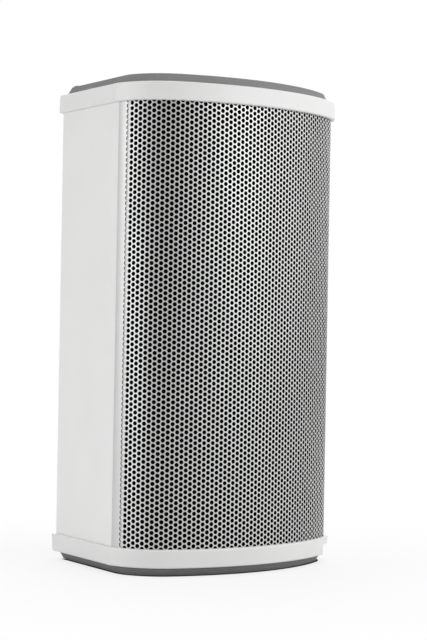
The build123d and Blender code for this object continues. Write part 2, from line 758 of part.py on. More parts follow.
def woofer_spider():
    """Corrugated cloth disc that centres the coil."""
    middle = SHELF_DEPTH - SPIDER_WALL
    pitch = (SPIDER_LAST_WAVE - SPIDER_FIRST_WAVE) / SPIDER_WAVES
    top = [(FORMER_OUTER, middle)]
    for i in range(SPIDER_WAVES):
        start = SPIDER_FIRST_WAVE + i * pitch
        top += [(start, middle), (start + pitch / 4, middle - SPIDER_SWELL),
                (start + 3 * pitch / 4, middle + SPIDER_SWELL)]
    top += [(SPIDER_LAST_WAVE, middle), (SPIDER_RIM, middle)]
    bottom = [(r, d + SPIDER_WALL) for r, d in reversed(top)]
    return woofer_turned(top + bottom)


def dome(radius, height, wall, base_depth, z):
    """A thin spherical cap bulging forwards, with its rim at this radius and depth."""
    base = FRONT_Y + BAFFLE_DEPTH + base_depth
    chord = radius * sqrt(0.5)
    sphere = (radius**2 + height**2) / (2 * height)
    rise = sqrt(sphere**2 - chord**2) - (sphere - height)
    edges = [
        ThreePointArc((0, base - height), (chord, base - rise), (radius, base)),
        Line((radius, base), (radius, base + wall)),
        ThreePointArc((radius, base + wall), (chord, base + wall - rise), (0, base + wall - height)),
        Line((0, base + wall - height), (0, base - height)),
    ]
    return Pos(0, 0, z) * revolve(make_face(edges), Axis((0, 0, 0), (0, 1, 0)))


parts["woofer_basket"] = woofer_basket()
parts["woofer_mounting_seal"], parts["woofer_clamp_ring"] = woofer_gaskets()
parts["woofer_surround"] = half_roll(
    ROLL_INNER, RIM_INNER, CONE_RIM + LIP_GAP, CLAMP_RING_OUTER, FLANGE_FRONT, SURROUND_WALL, WOOFER_Z
)
parts["woofer_cone"] = woofer_turned([
    (FORMER_OUTER, NECK_DEPTH), (CONE_RIM, FLANGE_FRONT), (ROLL_INNER, FLANGE_FRONT),
    (ROLL_INNER, FLANGE_FRONT + CONE_WALL), (CONE_RIM + CONE_WALL / 2, FLANGE_FRONT + CONE_WALL),
    (FORMER_OUTER + CONE_WALL, NECK_DEPTH + CONE_WALL), (FORMER_OUTER + CONE_WALL, NECK_DEPTH + NECK_LENGTH),
    (FORMER_OUTER, NECK_DEPTH + NECK_LENGTH),
])
parts["woofer_dust_cap"] = dome(DUST_CAP_RADIUS, DUST_CAP_RISE, DUST_CAP_WALL, DUST_CAP_DEPTH, WOOFER_Z)
parts["woofer_spider"] = woofer_spider()
parts["woofer_coil_former"] = woofer_sleeve(FORMER_OUTER, FORMER_INNER, FORMER_FRONT, FORMER_BACK)
coil_middle = PLATE_DEPTH + PLATE_WALL / 2
parts["woofer_voice_coil"] = woofer_sleeve(
    COIL_OUTER, FORMER_OUTER, coil_middle - COIL_LENGTH / 2, coil_middle + COIL_LENGTH / 2
)
magnet_front = PLATE_DEPTH + PLATE_WALL
magnet_back = magnet_front + MAGNET_WALL
parts["woofer_top_plate"] = woofer_sleeve(PLATE_RADIUS, PLATE_BORE, PLATE_DEPTH, magnet_front)
parts["woofer_magnet"] = woofer_sleeve(MAGNET_RADIUS, MAGNET_BORE, magnet_front, magnet_back)
parts["woofer_yoke"] = woofer_turned([
    (0, PLATE_DEPTH), (POLE_RADIUS, PLATE_DEPTH), (POLE_RADIUS, magnet_back), (YOKE_RADIUS, magnet_back),
    (YOKE_RADIUS, magnet_back + YOKE_WALL), (0, magnet_back + YOKE_WALL),
])


def solder_tabs(depth, spacing, z, strip_height):
    """Insulating strip with two solder tabs standing out of it, rearwards from this depth."""
    strip = block(0, depth, z, spacing + 2 * STRIP_MARGIN, STRIP_WALL, strip_height)
    for x in (-spacing / 2, spacing / 2):
        strip = strip + block(x, depth, z + TAB_OFFSET, TAB_WIDTH, STRIP_WALL + TAB_LENGTH, TAB_WALL)
    return strip


woofer_tab_depth = BAFFLE_DEPTH + SHELF_DEPTH + FRAME_WALL
woofer_tab_z = WOOFER_Z + 37.5
parts["woofer_terminals"] = solder_tabs(woofer_tab_depth, TAB_SPACING, woofer_tab_z, 8)
flange_y = FRONT_Y + BAFFLE_DEPTH + FLANGE_FRONT
woofer_screw_seats = [(x, flange_y, z) for x, z in woofer_screw_places()]


# ---------------------------------------------------------------- tweeter

FACE_FRONT = -3.0
DOME_RADIUS = 9.6
TW_POLE = 9.1
TW_FORMER = 9.4
TW_COIL = 10.0
TW_GAP = 10.4
TW_PLATE_RADIUS = 24.0
TW_PLATE_FRONT = 2.0
TW_MAGNET_RADIUS = 25.0
TW_MAGNET_BORE = 13.0
TW_MAGNET_FRONT = 7.0
TW_MAGNET_BACK = 17.0
TW_BACK = 20.0
TW_ROLL_OUTER = 12.4
TW_SEAT_RADIUS = 15.5
TW_SKIN = 0.4
THROAT_RADIUS = 14.0


def tweeter_turned(points):
    return turned(at_baffle(points), TWEETER_Z)


def tweeter_faceplate():
    """Moulded plate with a short flared horn round the dome."""
    bevel = 0.6
    spigot = TWEETER_CUTOUT - TW_SKIN
    recess = TW_SEAT_RADIUS + LIP_GAP
    horn = [(THROAT_RADIUS, 1.0), (16.5, 0.2), (19.5, -1.2), (22.5, FACE_FRONT)]
    plate = tweeter_turned([
        (TWEETER_FLANGE, FACE_FRONT + bevel), (TWEETER_FLANGE, 0), (spigot, 0), (spigot, TW_PLATE_FRONT),
        (recess, TW_PLATE_FRONT), (recess, 1.5), (THROAT_RADIUS, 1.5), *horn,
        (TWEETER_FLANGE - bevel, FACE_FRONT),
    ])
    depth = BAFFLE_DEPTH + FACE_FRONT
    return drilled(plate, depth, -FACE_FRONT, SMALL_SHANK + CLEARANCE, tweeter_screw_places())


parts["tweeter_faceplate"] = tweeter_faceplate()
parts["tweeter_dome"] = dome(DOME_RADIUS, 3.4, TW_SKIN, 1.2, TWEETER_Z)
parts["tweeter_surround"] = half_roll(
    DOME_RADIUS + LIP_GAP, TW_ROLL_OUTER, DOME_RADIUS + LIP_GAP / 2, TW_SEAT_RADIUS, TW_PLATE_FRONT, TW_SKIN,
    TWEETER_Z,
)
parts["tweeter_coil"] = tweeter_turned([
    (TW_FORMER, 1.7), (TW_FORMER + 0.2, 1.7), (TW_FORMER + 0.2, 4.0), (TW_COIL, 4.0), (TW_COIL, 7.4),
    (TW_FORMER, 7.4),
])
parts["tweeter_top_plate"] = tweeter_turned([
    (TW_GAP, 4.2), (THROAT_RADIUS, 4.2), (THROAT_RADIUS, TW_PLATE_FRONT), (TW_PLATE_RADIUS, TW_PLATE_FRONT),
    (TW_PLATE_RADIUS, TW_MAGNET_FRONT), (TW_GAP, TW_MAGNET_FRONT),
])
parts["tweeter_magnet"] = ring(
    BAFFLE_DEPTH + TW_MAGNET_FRONT, TW_MAGNET_BACK - TW_MAGNET_FRONT, TW_MAGNET_RADIUS, TW_MAGNET_BORE,
    z=TWEETER_Z,
)
parts["tweeter_yoke"] = tweeter_turned([
    (0, 3.2), (TW_POLE, 3.2), (TW_POLE, TW_MAGNET_BACK), (TW_PLATE_RADIUS, TW_MAGNET_BACK),
    (TW_PLATE_RADIUS, TW_BACK), (0, TW_BACK),
])
tweeter_tab_z = TWEETER_Z - 8
parts["tweeter_terminals"] = solder_tabs(BAFFLE_DEPTH + TW_BACK, TAB_SPACING, tweeter_tab_z, 7)
face_y = FRONT_Y + BAFFLE_DEPTH + FACE_FRONT
tweeter_screw_seats = [(x, face_y, z) for x, z in tweeter_screw_places()]
driver_seats = woofer_screw_seats + tweeter_screw_seats
parts["driver_screws"] = Compound(children=screws_at(
    driver_seats, (0, 1, 0), SMALL_HEAD, SMALL_HEAD_HEIGHT, SMALL_SHANK, DRIVER_SCREW_LENGTH
))


# ---------------------------------------------------------------- line transformer

def transformer_box(width, low_depth, high_depth, height):
    """A box centred on the transformer, between two depths."""
    return block(0, low_depth, TRANSFORMER_Z, width, high_depth - low_depth, height)


core_front = INNER_BACK - CORE_LENGTH
window_front = core_front + LIMB
window_back = window_front + WINDOW_LENGTH
winding_bulge = 6.5
cheek = 1.0


def transformer_core():
    core = transformer_box(CORE_WIDTH, core_front, INNER_BACK, CORE_STACK)
    for side in (-1, 1):
        window = block(side * 1.5 * LIMB, window_front, TRANSFORMER_Z, LIMB, WINDOW_LENGTH, 2 * CORE_STACK)
        core = core - window
    return core


def transformer_bobbin():
    """Moulded spool on the middle limb."""
    tube_width = 2 * LIMB + 2 * (cheek + BOBBIN_GAP)
    tube_height = CORE_STACK + 2 * (cheek + BOBBIN_GAP)
    front, back = window_front + BOBBIN_GAP, window_back - BOBBIN_GAP
    cheek_width = 4 * (LIMB - BOBBIN_GAP)
    cheek_height = CORE_STACK + 2 * winding_bulge + cheek
    bobbin = transformer_box(tube_width, front, back, tube_height)
    bobbin = bobbin + transformer_box(cheek_width, front, front + cheek, cheek_height)
    bobbin = bobbin + transformer_box(cheek_width, back - cheek, back, cheek_height)
    bore_width, bore_height = 2 * (LIMB + BOBBIN_GAP), CORE_STACK + 2 * BOBBIN_GAP
    return bobbin - transformer_box(bore_width, front - CUT, back + CUT, bore_height)


def transformer_winding():
    """The taped winding that fills the spool between its cheeks."""
    inset = cheek + 2 * BOBBIN_GAP
    front, back = window_front + inset, window_back - inset
    winding = transformer_box(4 * LIMB - inset, front, back, CORE_STACK + 2 * winding_bulge)
    winding = fillet(winding.edges().filter_by(Axis.Y), WINDING_ROUND)
    bore_width, bore_height = 2 * (LIMB + inset), CORE_STACK + 2 * inset
    return winding - transformer_box(bore_width, front - CUT, back + CUT, bore_height)


def transformer_bracket():
    """Steel strap over the core, with a foot on each side."""
    half = CORE_WIDTH / 2
    out = half + BRACKET_WALL
    foot = out + BRACKET_FOOT
    right = [
        (out, core_front - BRACKET_WALL), (out, INNER_BACK - BRACKET_WALL), (foot, INNER_BACK - BRACKET_WALL),
        (foot, INNER_BACK), (half, INNER_BACK), (half, core_front),
    ]
    left = [(-x, d) for x, d in reversed(right)]
    points = [(x, FRONT_Y + d) for x, d in right + left]
    strap = make_face(Polyline(*points, close=True))
    strap = prism(strap, TRANSFORMER_Z - CORE_STACK / 2, CORE_STACK)
    depth = INNER_BACK - BRACKET_WALL
    return drilled(strap, depth, BRACKET_WALL, SCREW_SHANK + CLEARANCE, bracket_screw_places())


parts["transformer_core"] = transformer_core()
parts["transformer_bobbin"] = transformer_bobbin()
parts["transformer_winding"] = transformer_winding()
parts["transformer_bracket"] = transformer_bracket()
bracket_y = FRONT_Y + INNER_BACK - BRACKET_WALL
bracket_places = [(x, bracket_y, z) for x, z in bracket_screw_places()]
parts["transformer_screws"] = Compound(children=screws_at(
    bracket_places, (0, 1, 0), SCREW_HEAD, SCREW_HEAD_HEIGHT, SCREW_SHANK, BRACKET_WALL + WALL
))


# ---------------------------------------------------------------- crossover board

board_front = INNER_BACK - STANDOFF_HEIGHT - BOARD_WALL


def board_hole_places():
    x = BOARD_WIDTH / 2 - BOARD_HOLE_INSET
    z = BOARD_HEIGHT / 2 - BOARD_HOLE_INSET
    return [(sx * x, BOARD_Z + sz * z) for sx in (-1, 1) for sz in (-1, 1)]


def crossover_board():
    board = block(0, board_front, BOARD_Z, BOARD_WIDTH, BOARD_WALL, BOARD_HEIGHT)
    return drilled(board, board_front, BOARD_WALL, SMALL_SHANK + CLEARANCE, board_hole_places())


def standoffs():
    group = [
        ring(board_front + BOARD_WALL, STANDOFF_HEIGHT, STANDOFF_RADIUS, SMALL_SHANK + THREAD_FIT, x, z)
        for x, z in board_hole_places()
    ]
    return Compound(children=group)


def choke_bobbin():
    """Ferrite bobbin of the low-pass choke, standing on the board."""
    bobbin = ring(board_front - CHOKE_HEIGHT, CHOKE_HEIGHT, CHOKE_CORE_RADIUS, 0, CHOKE_X, BOARD_Z)
    for depth in (board_front - CHOKE_HEIGHT, board_front - CHOKE_CHEEK):
        bobbin = bobbin + ring(depth, CHOKE_CHEEK, CHOKE_CHEEK_RADIUS, 0, CHOKE_X, BOARD_Z)
    return bobbin


parts["crossover_board"] = crossover_board()
parts["board_standoffs"] = standoffs()
board_screw_seats = [(x, FRONT_Y + board_front, z) for x, z in board_hole_places()]
parts["choke_bobbin"] = choke_bobbin()
winding_inset = CHOKE_CHEEK + BOBBIN_GAP
parts["choke_winding"] = ring(
    board_front - CHOKE_HEIGHT + winding_inset, CHOKE_HEIGHT - 2 * winding_inset, CHOKE_WINDING_RADIUS,
    CHOKE_CORE_RADIUS + THREAD_FIT, CHOKE_X, BOARD_Z,
)
capacitor_x, capacitor_rise = CAPACITOR_PLACE
capacitor_depth = board_front - CAPACITOR_SIZE[1]
film_capacitor = block(capacitor_x, capacitor_depth, BOARD_Z + capacitor_rise, *CAPACITOR_SIZE)
parts["film_capacitor"] = fillet(film_capacitor.edges(), CAPACITOR_ROUND)
parts["power_resistor"] = block(RESISTOR_X, board_front - RESISTOR_SIZE[1], BOARD_Z, *RESISTOR_SIZE)


# ---------------------------------------------------------------- rear terminal tray

tray_floor = BODY_DEPTH - TRAY_DEPTH
flange_back = BODY_DEPTH + TRAY_SEAL + TRAY_FLANGE_WALL
flange_width = TRAY_WIDTH + 2 * TRAY_WALL + 2 * TRAY_FLANGE
flange_height = TRAY_HEIGHT + 2 * TRAY_WALL + 2 * TRAY_FLANGE


def terminal_tray():
    """Moulded tray let into the rear wall, with a cable slot through its lower rim."""
    outer_width, outer_height = TRAY_WIDTH + 2 * TRAY_WALL, TRAY_HEIGHT + 2 * TRAY_WALL
    outer = RectangleRounded(outer_width, outer_height, TRAY_ROUND + TRAY_WALL / 2)
    inner = RectangleRounded(TRAY_WIDTH, TRAY_HEIGHT, TRAY_ROUND)
    flange = RectangleRounded(flange_width, flange_height, TRAY_ROUND + TRAY_WALL)
    tray = slab(tray_floor - TRAY_WALL, flange_back - tray_floor + TRAY_WALL, outer, z=TRAY_Z)
    tray = tray + slab(BODY_DEPTH + TRAY_SEAL, TRAY_FLANGE_WALL, flange, z=TRAY_Z)
    tray = tray - slab(tray_floor, TRAY_DEPTH + 10 * CUT, inner, z=TRAY_Z)
    sink = flat_screw(FLAT_HEAD + THREAD_FIT, FLAT_HEAD_HEIGHT, SMALL_SHANK + CLEARANCE, 2 * TRAY_WALL)
    for x, z in tray_screw_places():
        tray = tray - Plane(origin=(x, FRONT_Y + flange_back, z), z_dir=(0, 1, 0)) * sink
    floor_front = tray_floor - TRAY_WALL
    tray = drilled(tray, floor_front, TRAY_WALL, BUSH_RADIUS + THREAD_FIT, [(KNOB_X, KNOB_Z)])
    tray = drilled(tray, floor_front, TRAY_WALL, WIRE_HOLE, [(BLOCK_X + x, TRAY_Z) for x in POLES])
    for x in CLAMP_POSTS:
        post = ring(tray_floor - CUT, CLAMP_LIFT + CUT, CLAMP_POST_RADIUS, 0, BLOCK_X + x, CLAMP_Z)
        bore = ring(tray_floor, CLAMP_LIFT + CUT, SMALL_SHANK + THREAD_FIT, 0, BLOCK_X + x, CLAMP_Z)
        tray = tray + (post - bore)
    return tray


def tray_seal():
    """Foam gasket under the tray's flange."""
    width, height = flange_width - 2 * TRAY_SEAL, flange_height - 2 * TRAY_SEAL
    outer = RectangleRounded(width, height, TRAY_ROUND + TRAY_SEAL)
    seal = slab(BODY_DEPTH, TRAY_SEAL, outer - tray_cutout(), z=TRAY_Z)
    return drilled(seal, BODY_DEPTH, TRAY_SEAL, SMALL_SHANK + CLEARANCE, tray_screw_places())


parts["terminal_tray"] = terminal_tray()
parts["tray_seal"] = tray_seal()
parts["tray_screws"] = Compound(children=[
    Plane(origin=(x, FRONT_Y + flange_back, z), z_dir=(0, 1, 0))
    * (flat_screw(FLAT_HEAD, FLAT_HEAD_HEIGHT, SMALL_SHANK, SMALL_SCREW_LENGTH) - cross_recess(FLAT_HEAD))
    for x, z in tray_screw_places()
])


def pole_screw_places():
    return [(BLOCK_X + x, TRAY_Z + z) for x in POLES for z in (-POLE_SCREW, POLE_SCREW)]


def terminal_block():
    """Three-pole ceramic block: wire bores run up and down, clamp screws face the rear."""
    base = block(BLOCK_X, tray_floor, TRAY_Z, *BLOCK_SIZE)
    base = fillet(base.edges().filter_by(Axis.Z), 1.0)
    for x in POLES:
        place = Pos(BLOCK_X + x, FRONT_Y + tray_floor + SLEEVE_DEPTH, TRAY_Z)
        base = base - place * Cylinder(SLEEVE_RADIUS + THREAD_FIT, 2 * BLOCK_SIZE[2])
    screw_room = POLE_SCREW_SIZES[0] + CLEARANCE
    return drilled(base, tray_floor + SLEEVE_DEPTH + CUT, BLOCK_SIZE[1], screw_room, pole_screw_places())


def terminal_sleeves():
    """Brass tubes inside the block that the wires are clamped in."""
    tapped = POLE_SCREW_SIZES[2] + THREAD_FIT
    group = []
    for x in POLES:
        place = Pos(BLOCK_X + x, FRONT_Y + tray_floor + SLEEVE_DEPTH, TRAY_Z)
        tube = place * (Cylinder(SLEEVE_RADIUS, SLEEVE_LENGTH) - Cylinder(SLEEVE_BORE, 2 * SLEEVE_LENGTH))
        depth = tray_floor + SLEEVE_DEPTH + CUT
        group.append(drilled(tube, depth, BLOCK_SIZE[1], tapped, pole_screw_places()))
    return Compound(children=group)


parts["terminal_block"] = terminal_block()
parts["terminal_sleeves"] = terminal_sleeves()
pole_seats = [(x, FRONT_Y + tray_floor + POLE_SCREW_LIFT, z) for x, z in pole_screw_places()]
parts["terminal_screws"] = Compound(children=screws_at(pole_seats, (0, -1, 0), *POLE_SCREW_SIZES))


def tap_switch():
    """Rotary power-tap switch behind the tray, with a threaded bush through its floor."""
    back = tray_floor - TRAY_WALL
    body = ring(back - SWITCH_DEPTH, SWITCH_DEPTH, SWITCH_RADIUS, 0, KNOB_X, KNOB_Z)
    body = fillet(body.edges().filter_by(GeomType.CIRCLE), 1.0)
    body = body + ring(back - CUT, TRAY_WALL + BUSH_LENGTH + CUT, BUSH_RADIUS, 0, KNOB_X, KNOB_Z)
    bore_depth = tray_floor - SHAFT_SUNK - CUT
    return body - ring(bore_depth, 2 * SWITCH_DEPTH, SHAFT_RADIUS + THREAD_FIT, 0, KNOB_X, KNOB_Z)


def tap_knob():
    """Fluted knob with a pointer rib, bored for the shaft."""
    front = tray_floor + KNOB_LIFT
    knob = ring(front, KNOB_HEIGHT, KNOB_RADIUS, 0, KNOB_X, KNOB_Z)
    knob = fillet(knob.edges().sort_by(Axis.Y)[-1], FLUTE_RADIUS)
    for x, z in around(FLUTES, KNOB_RADIUS + FLUTE_RADIUS / 2, 180 / FLUTES, KNOB_X, KNOB_Z):
        knob = knob - ring(front + 2, KNOB_HEIGHT, FLUTE_RADIUS, 0, x, z)
    knob = knob + block(KNOB_X, front + KNOB_HEIGHT - 0.5, KNOB_Z + POINTER_MIDDLE, *POINTER_SIZE)
    bore = SHAFT_LENGTH - SHAFT_SUNK - KNOB_LIFT
    return knob - ring(front - CUT, bore + CUT, SHAFT_RADIUS, 0, KNOB_X, KNOB_Z)


parts["tap_switch"] = tap_switch()
parts["tap_knob"] = tap_knob()
parts["tap_shaft"] = ring(tray_floor - SHAFT_SUNK, SHAFT_LENGTH, SHAFT_RADIUS, 0, KNOB_X, KNOB_Z)
nut_plan = RegularPolygon(NUT_RADIUS, 6) - Circle(BUSH_RADIUS)
parts["tap_switch_nut"] = slab(tray_floor, NUT_WALL, nut_plan, KNOB_X, KNOB_Z)


def cable_clamp():
    """Saddle over the cable, screwed to two posts on the tray's floor."""
    depth = tray_floor + CLAMP_LIFT
    bar = block(BLOCK_X, depth, CLAMP_Z, CLAMP_LENGTH, CLAMP_WALL, CLAMP_WIDTH)
    bar = fillet(bar.edges().filter_by(Axis.Y), 2.0)
    groove = Pos(BLOCK_X, FRONT_Y + depth - CABLE_RADIUS + CABLE_SQUEEZE, CLAMP_Z)
    bar = bar - groove * Cylinder(CABLE_RADIUS, 2 * CLAMP_WIDTH)
    places = [(BLOCK_X + x, CLAMP_Z) for x in CLAMP_POSTS]
    return drilled(bar, depth, CLAMP_WALL, SMALL_SHANK + CLEARANCE, places)


parts["cable_clamp"] = cable_clamp()
clamp_seats = [(BLOCK_X + x, FRONT_Y + tray_floor + CLAMP_LIFT + CLAMP_WALL, CLAMP_Z) for x in CLAMP_POSTS]
short_sizes = (SMALL_HEAD, SMALL_HEAD_HEIGHT, SMALL_SHANK, SMALL_SCREW_LENGTH)
parts["short_screws"] = Compound(
    children=screws_at(board_screw_seats, (0, 1, 0), *short_sizes)
    + screws_at(clamp_seats, (0, -1, 0), *short_sizes)
)


# ---------------------------------------------------------------- rear fixing inserts

def rivet_nut(x, z):
    """M6 threaded insert crimped into the rear wall."""
    start = BODY_DEPTH + INSERT_FLANGE_WALL - INSERT_LENGTH
    barrel = ring(start, INSERT_LENGTH, INSERT_BARREL, INSERT_BORE, x, z)
    flange = ring(BODY_DEPTH, INSERT_FLANGE_WALL, INSERT_FLANGE, INSERT_BORE, x, z)
    crimp = ring(INNER_BACK - INSERT_CRIMP, INSERT_CRIMP, INSERT_BARREL + INSERT_CRIMP / 2, INSERT_BORE, x, z)
    return barrel + flange + crimp


parts["fixing_inserts"] = Compound(children=[rivet_nut(x, z) for x, z in insert_places()])


# ---------------------------------------------------------------- damping and wiring

def damping_wool():
    """Two pads of polyester wadding against the side walls."""
    lean = SIDE_ANGLE - 90
    crease_x, crease_y = plan_points(-WALL)["crease"]
    wall_x = crease_x - (FRONT_Y + WOOL_DEPTH - crease_y) * tan(radians(lean))
    middle_x = wall_x - WOOL_GAP - WOOL_SIZE[0] / 2
    pad = Pos(middle_x, FRONT_Y + WOOL_DEPTH, MID_Z) * Rot(0, 0, lean) * Box(*WOOL_SIZE)
    return Compound(children=both_sides(fillet(pad.edges().filter_by(Axis.Z), WOOL_ROUND)))


parts["damping_wool"] = damping_wool()


def driver_wires():
    """Leads from the drivers' solder tabs to the crossover board."""
    tab_reach = STRIP_WALL + TAB_LENGTH
    half = TAB_SPACING / 2
    wires = []
    depth, z, low = woofer_tab_depth + tab_reach, woofer_tab_z + TAB_OFFSET, BOARD_Z - 16
    for tab_x, board_x in ((-half, -24.5), (half, 0)):
        wires.append(wire([(tab_x, depth, z), (tab_x, 70, z), (board_x, 78, low),
                           (board_x, board_front, low)], WIRE_BEND))
    depth, z, high = BAFFLE_DEPTH + TW_BACK + tab_reach, tweeter_tab_z + TAB_OFFSET, BOARD_Z + 15
    for tab_x, board_x in ((-half, -3), (half, 6)):
        wires.append(wire([(tab_x, depth, z), (tab_x, 62, z), (board_x, 84, high),
                           (board_x, board_front, high)], WIRE_BEND))
    return wires


def line_wires():
    """Leads to the transformer from the terminal block and from the tap switch."""
    winding_z = TRANSFORMER_Z - CORE_STACK / 2 - winding_bulge
    back = tray_floor
    front = tray_floor - TRAY_WALL - SWITCH_DEPTH
    wires = []
    for x, end_x in ((BLOCK_X + POLES[0], -11), (BLOCK_X + POLES[1], -5)):
        wires.append(wire([(x, back, TRAY_Z), (x, 86, TRAY_Z), (x, 86, 196), (end_x, 96, 200),
                           (end_x, 96, winding_z)], WIRE_BEND))
    for x, z in ((12, KNOB_Z + 4), (16, KNOB_Z - 2)):
        wires.append(wire([(x, front, z), (x, 74, z), (x, 74, 190), (x - 4, 96, 200),
                           (x - 4, 96, winding_z)], 3.0))
    return wires


parts["driver_wires"] = Compound(children=driver_wires())
parts["line_wires"] = Compound(children=line_wires())

for name, shape in parts.items():
    export_step(shape, f"parts/{name}.step")
    print(f"{name:24s} solids {len(shape.solids())}")
print(len(parts), "nodes")
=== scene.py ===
import json
from math import cos, pi, radians, sin

import bmesh
import bpy
import numpy as np
from mathutils import Matrix, Vector
from mathutils import noise as field


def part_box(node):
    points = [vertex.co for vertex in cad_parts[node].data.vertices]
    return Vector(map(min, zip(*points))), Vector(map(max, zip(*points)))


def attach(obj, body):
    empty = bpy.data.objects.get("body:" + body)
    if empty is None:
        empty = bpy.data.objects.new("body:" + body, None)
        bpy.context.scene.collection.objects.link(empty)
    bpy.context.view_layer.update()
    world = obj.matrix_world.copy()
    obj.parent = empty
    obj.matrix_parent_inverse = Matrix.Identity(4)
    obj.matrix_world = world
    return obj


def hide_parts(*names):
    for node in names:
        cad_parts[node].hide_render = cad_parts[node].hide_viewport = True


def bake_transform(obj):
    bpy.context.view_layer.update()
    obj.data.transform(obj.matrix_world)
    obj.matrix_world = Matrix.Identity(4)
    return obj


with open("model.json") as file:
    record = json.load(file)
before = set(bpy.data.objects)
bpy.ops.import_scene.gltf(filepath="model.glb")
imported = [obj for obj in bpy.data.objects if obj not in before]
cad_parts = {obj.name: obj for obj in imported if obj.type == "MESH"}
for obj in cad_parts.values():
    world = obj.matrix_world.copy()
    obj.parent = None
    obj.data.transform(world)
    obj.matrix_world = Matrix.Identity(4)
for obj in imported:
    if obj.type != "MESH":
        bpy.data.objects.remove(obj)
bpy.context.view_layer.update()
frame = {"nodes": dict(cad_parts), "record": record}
scene = bpy.context.scene

MM = 0.001

# ------------------------------------------------------------------ plan of the cabinet, in millimetres
# A place on the curved front is (s, z, o): s is the distance along the front from its middle, positive
# to the right, z is the height, and o is how far the place stands out from the cabinet's outline.

BODY_DEPTH = 120.0
FRONT_RADIUS = 133.0
FRONT_HALF_ANGLE = radians(26.7)
CORNER_RADIUS = 32.6
CORNER_END_ANGLE = radians(95.2)
FRONT_Y = -BODY_DEPTH / 2
CORNER_X = (FRONT_RADIUS - CORNER_RADIUS) * sin(FRONT_HALF_ANGLE)
CORNER_Y = FRONT_Y + FRONT_RADIUS - (FRONT_RADIUS - CORNER_RADIUS) * cos(FRONT_HALF_ANGLE)
FRONT_ARC = FRONT_RADIUS * FRONT_HALF_ANGLE
CREASE_S = FRONT_ARC + CORNER_RADIUS * (CORNER_END_ANGLE - FRONT_HALF_ANGLE)


def on_front(places):
    """Turns an array of (s, z, o) places, in millimetres, into points in metres."""
    places = np.asarray(places, float)
    s, z, o = places[:, 0], places[:, 1], places[:, 2]
    reach = np.abs(s)
    side = np.where(s < 0, -1.0, 1.0)
    on_arc = reach <= FRONT_ARC
    angle = np.where(
        on_arc, reach / FRONT_RADIUS, FRONT_HALF_ANGLE + (reach - FRONT_ARC) / CORNER_RADIUS
    )
    radius = np.where(on_arc, FRONT_RADIUS, CORNER_RADIUS) + o
    centre_x = np.where(on_arc, 0.0, CORNER_X)
    centre_y = np.where(on_arc, FRONT_Y + FRONT_RADIUS, CORNER_Y)
    x = side * (centre_x + radius * np.sin(angle))
    y = centre_y - radius * np.cos(angle)
    return np.stack([x, y, z], axis=1) * MM


def new_piece(name, points, faces, body="cabinet", smooth_below=38.0):
    """A mesh object from points in metres, with edges sharper than smooth_below degrees kept crisp."""
    mesh = bpy.data.meshes.new(name)
    mesh.from_pydata([tuple(p) for p in points], [], [list(map(int, f)) for f in faces])
    mesh.validate()
    mesh.shade_smooth()
    mesh.set_sharp_from_angle(angle=radians(smooth_below))
    piece = bpy.data.objects.new(name, mesh)
    scene.collection.objects.link(piece)
    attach(piece, body)
    return piece


# ------------------------------------------------------------------ procedural materials

WAVE_REPEAT = 2 * pi / 20   # a wave texture repeats this often in its own units at scale 1


def node(tree, kind, **values):
    """A new shader node, with its settings and input values set by name."""
    made = tree.nodes.new(kind)
    for key, value in values.items():
        if hasattr(made, key):
            setattr(made, key, value)
        else:
            made.inputs[key.replace("_", " ")].default_value = value
    return made


def start_material(name, roughness=0.5, metallic=0.0, **sockets):
    """A Principled material, and its tree, shader and object-space coordinates."""
    material = bpy.data.materials.new(name)
    material.use_nodes = True
    tree = material.node_tree
    shader = tree.nodes["Principled BSDF"]
    shader.inputs["Roughness"].default_value = roughness
    shader.inputs["Metallic"].default_value = metallic
    for key, value in sockets.items():
        shader.inputs[key.replace("_", " ")].default_value = value
    coords = tree.nodes.new("ShaderNodeTexCoord").outputs["Object"]
    return material, tree, shader, coords


def noise(tree, coords, size_mm, detail=3.0, stretch=(1.0, 1.0, 1.0)):
    """Noise whose features are about size_mm across, longer along an axis with a stretch over 1."""
    place = tree.nodes.new("ShaderNodeMapping")
    place.inputs["Scale"].default_value = [1.0 / v for v in stretch]
    tree.links.new(coords, place.inputs["Vector"])
    made = node(tree, "ShaderNodeTexNoise", Scale=1.0 / (size_mm * MM), Detail=detail)
    tree.links.new(place.outputs["Vector"], made.inputs["Vector"])
    return made.outputs["Fac"]


def bands(tree, coords, pitch_mm, axis, profile="SIN"):
    """Regular ridges, pitch_mm apart along an axis."""
    made = node(tree, "ShaderNodeTexWave", bands_direction=axis, wave_profile=profile)
    made.inputs["Scale"].default_value = WAVE_REPEAT / (pitch_mm * MM)
    tree.links.new(coords, made.inputs["Vector"])
    return made.outputs["Fac"]


def math(tree, operation, first, second):
    """The result of an operation on two values, each a number or another node's output."""
    made = node(tree, "ShaderNodeMath", operation=operation)
    for socket, value in zip(made.inputs, (first, second)):
        if isinstance(value, (int, float)):
            socket.default_value = value
        else:
            tree.links.new(value, socket)
    return made.outputs[0]


def tint(tree, shader, fac, low, high, from_low=0.3, from_high=0.7):
    """Base colour that runs from low to high as fac goes from from_low to from_high."""
    ramp = tree.nodes.new("ShaderNodeValToRGB")
    ramp.color_ramp.elements[0].position = from_low
    ramp.color_ramp.elements[0].color = (*low, 1.0)
    ramp.color_ramp.elements[1].position = from_high
    ramp.color_ramp.elements[1].color = (*high, 1.0)
    tree.links.new(fac, ramp.inputs["Fac"])
    tree.links.new(ramp.outputs["Color"], shader.inputs["Base Color"])


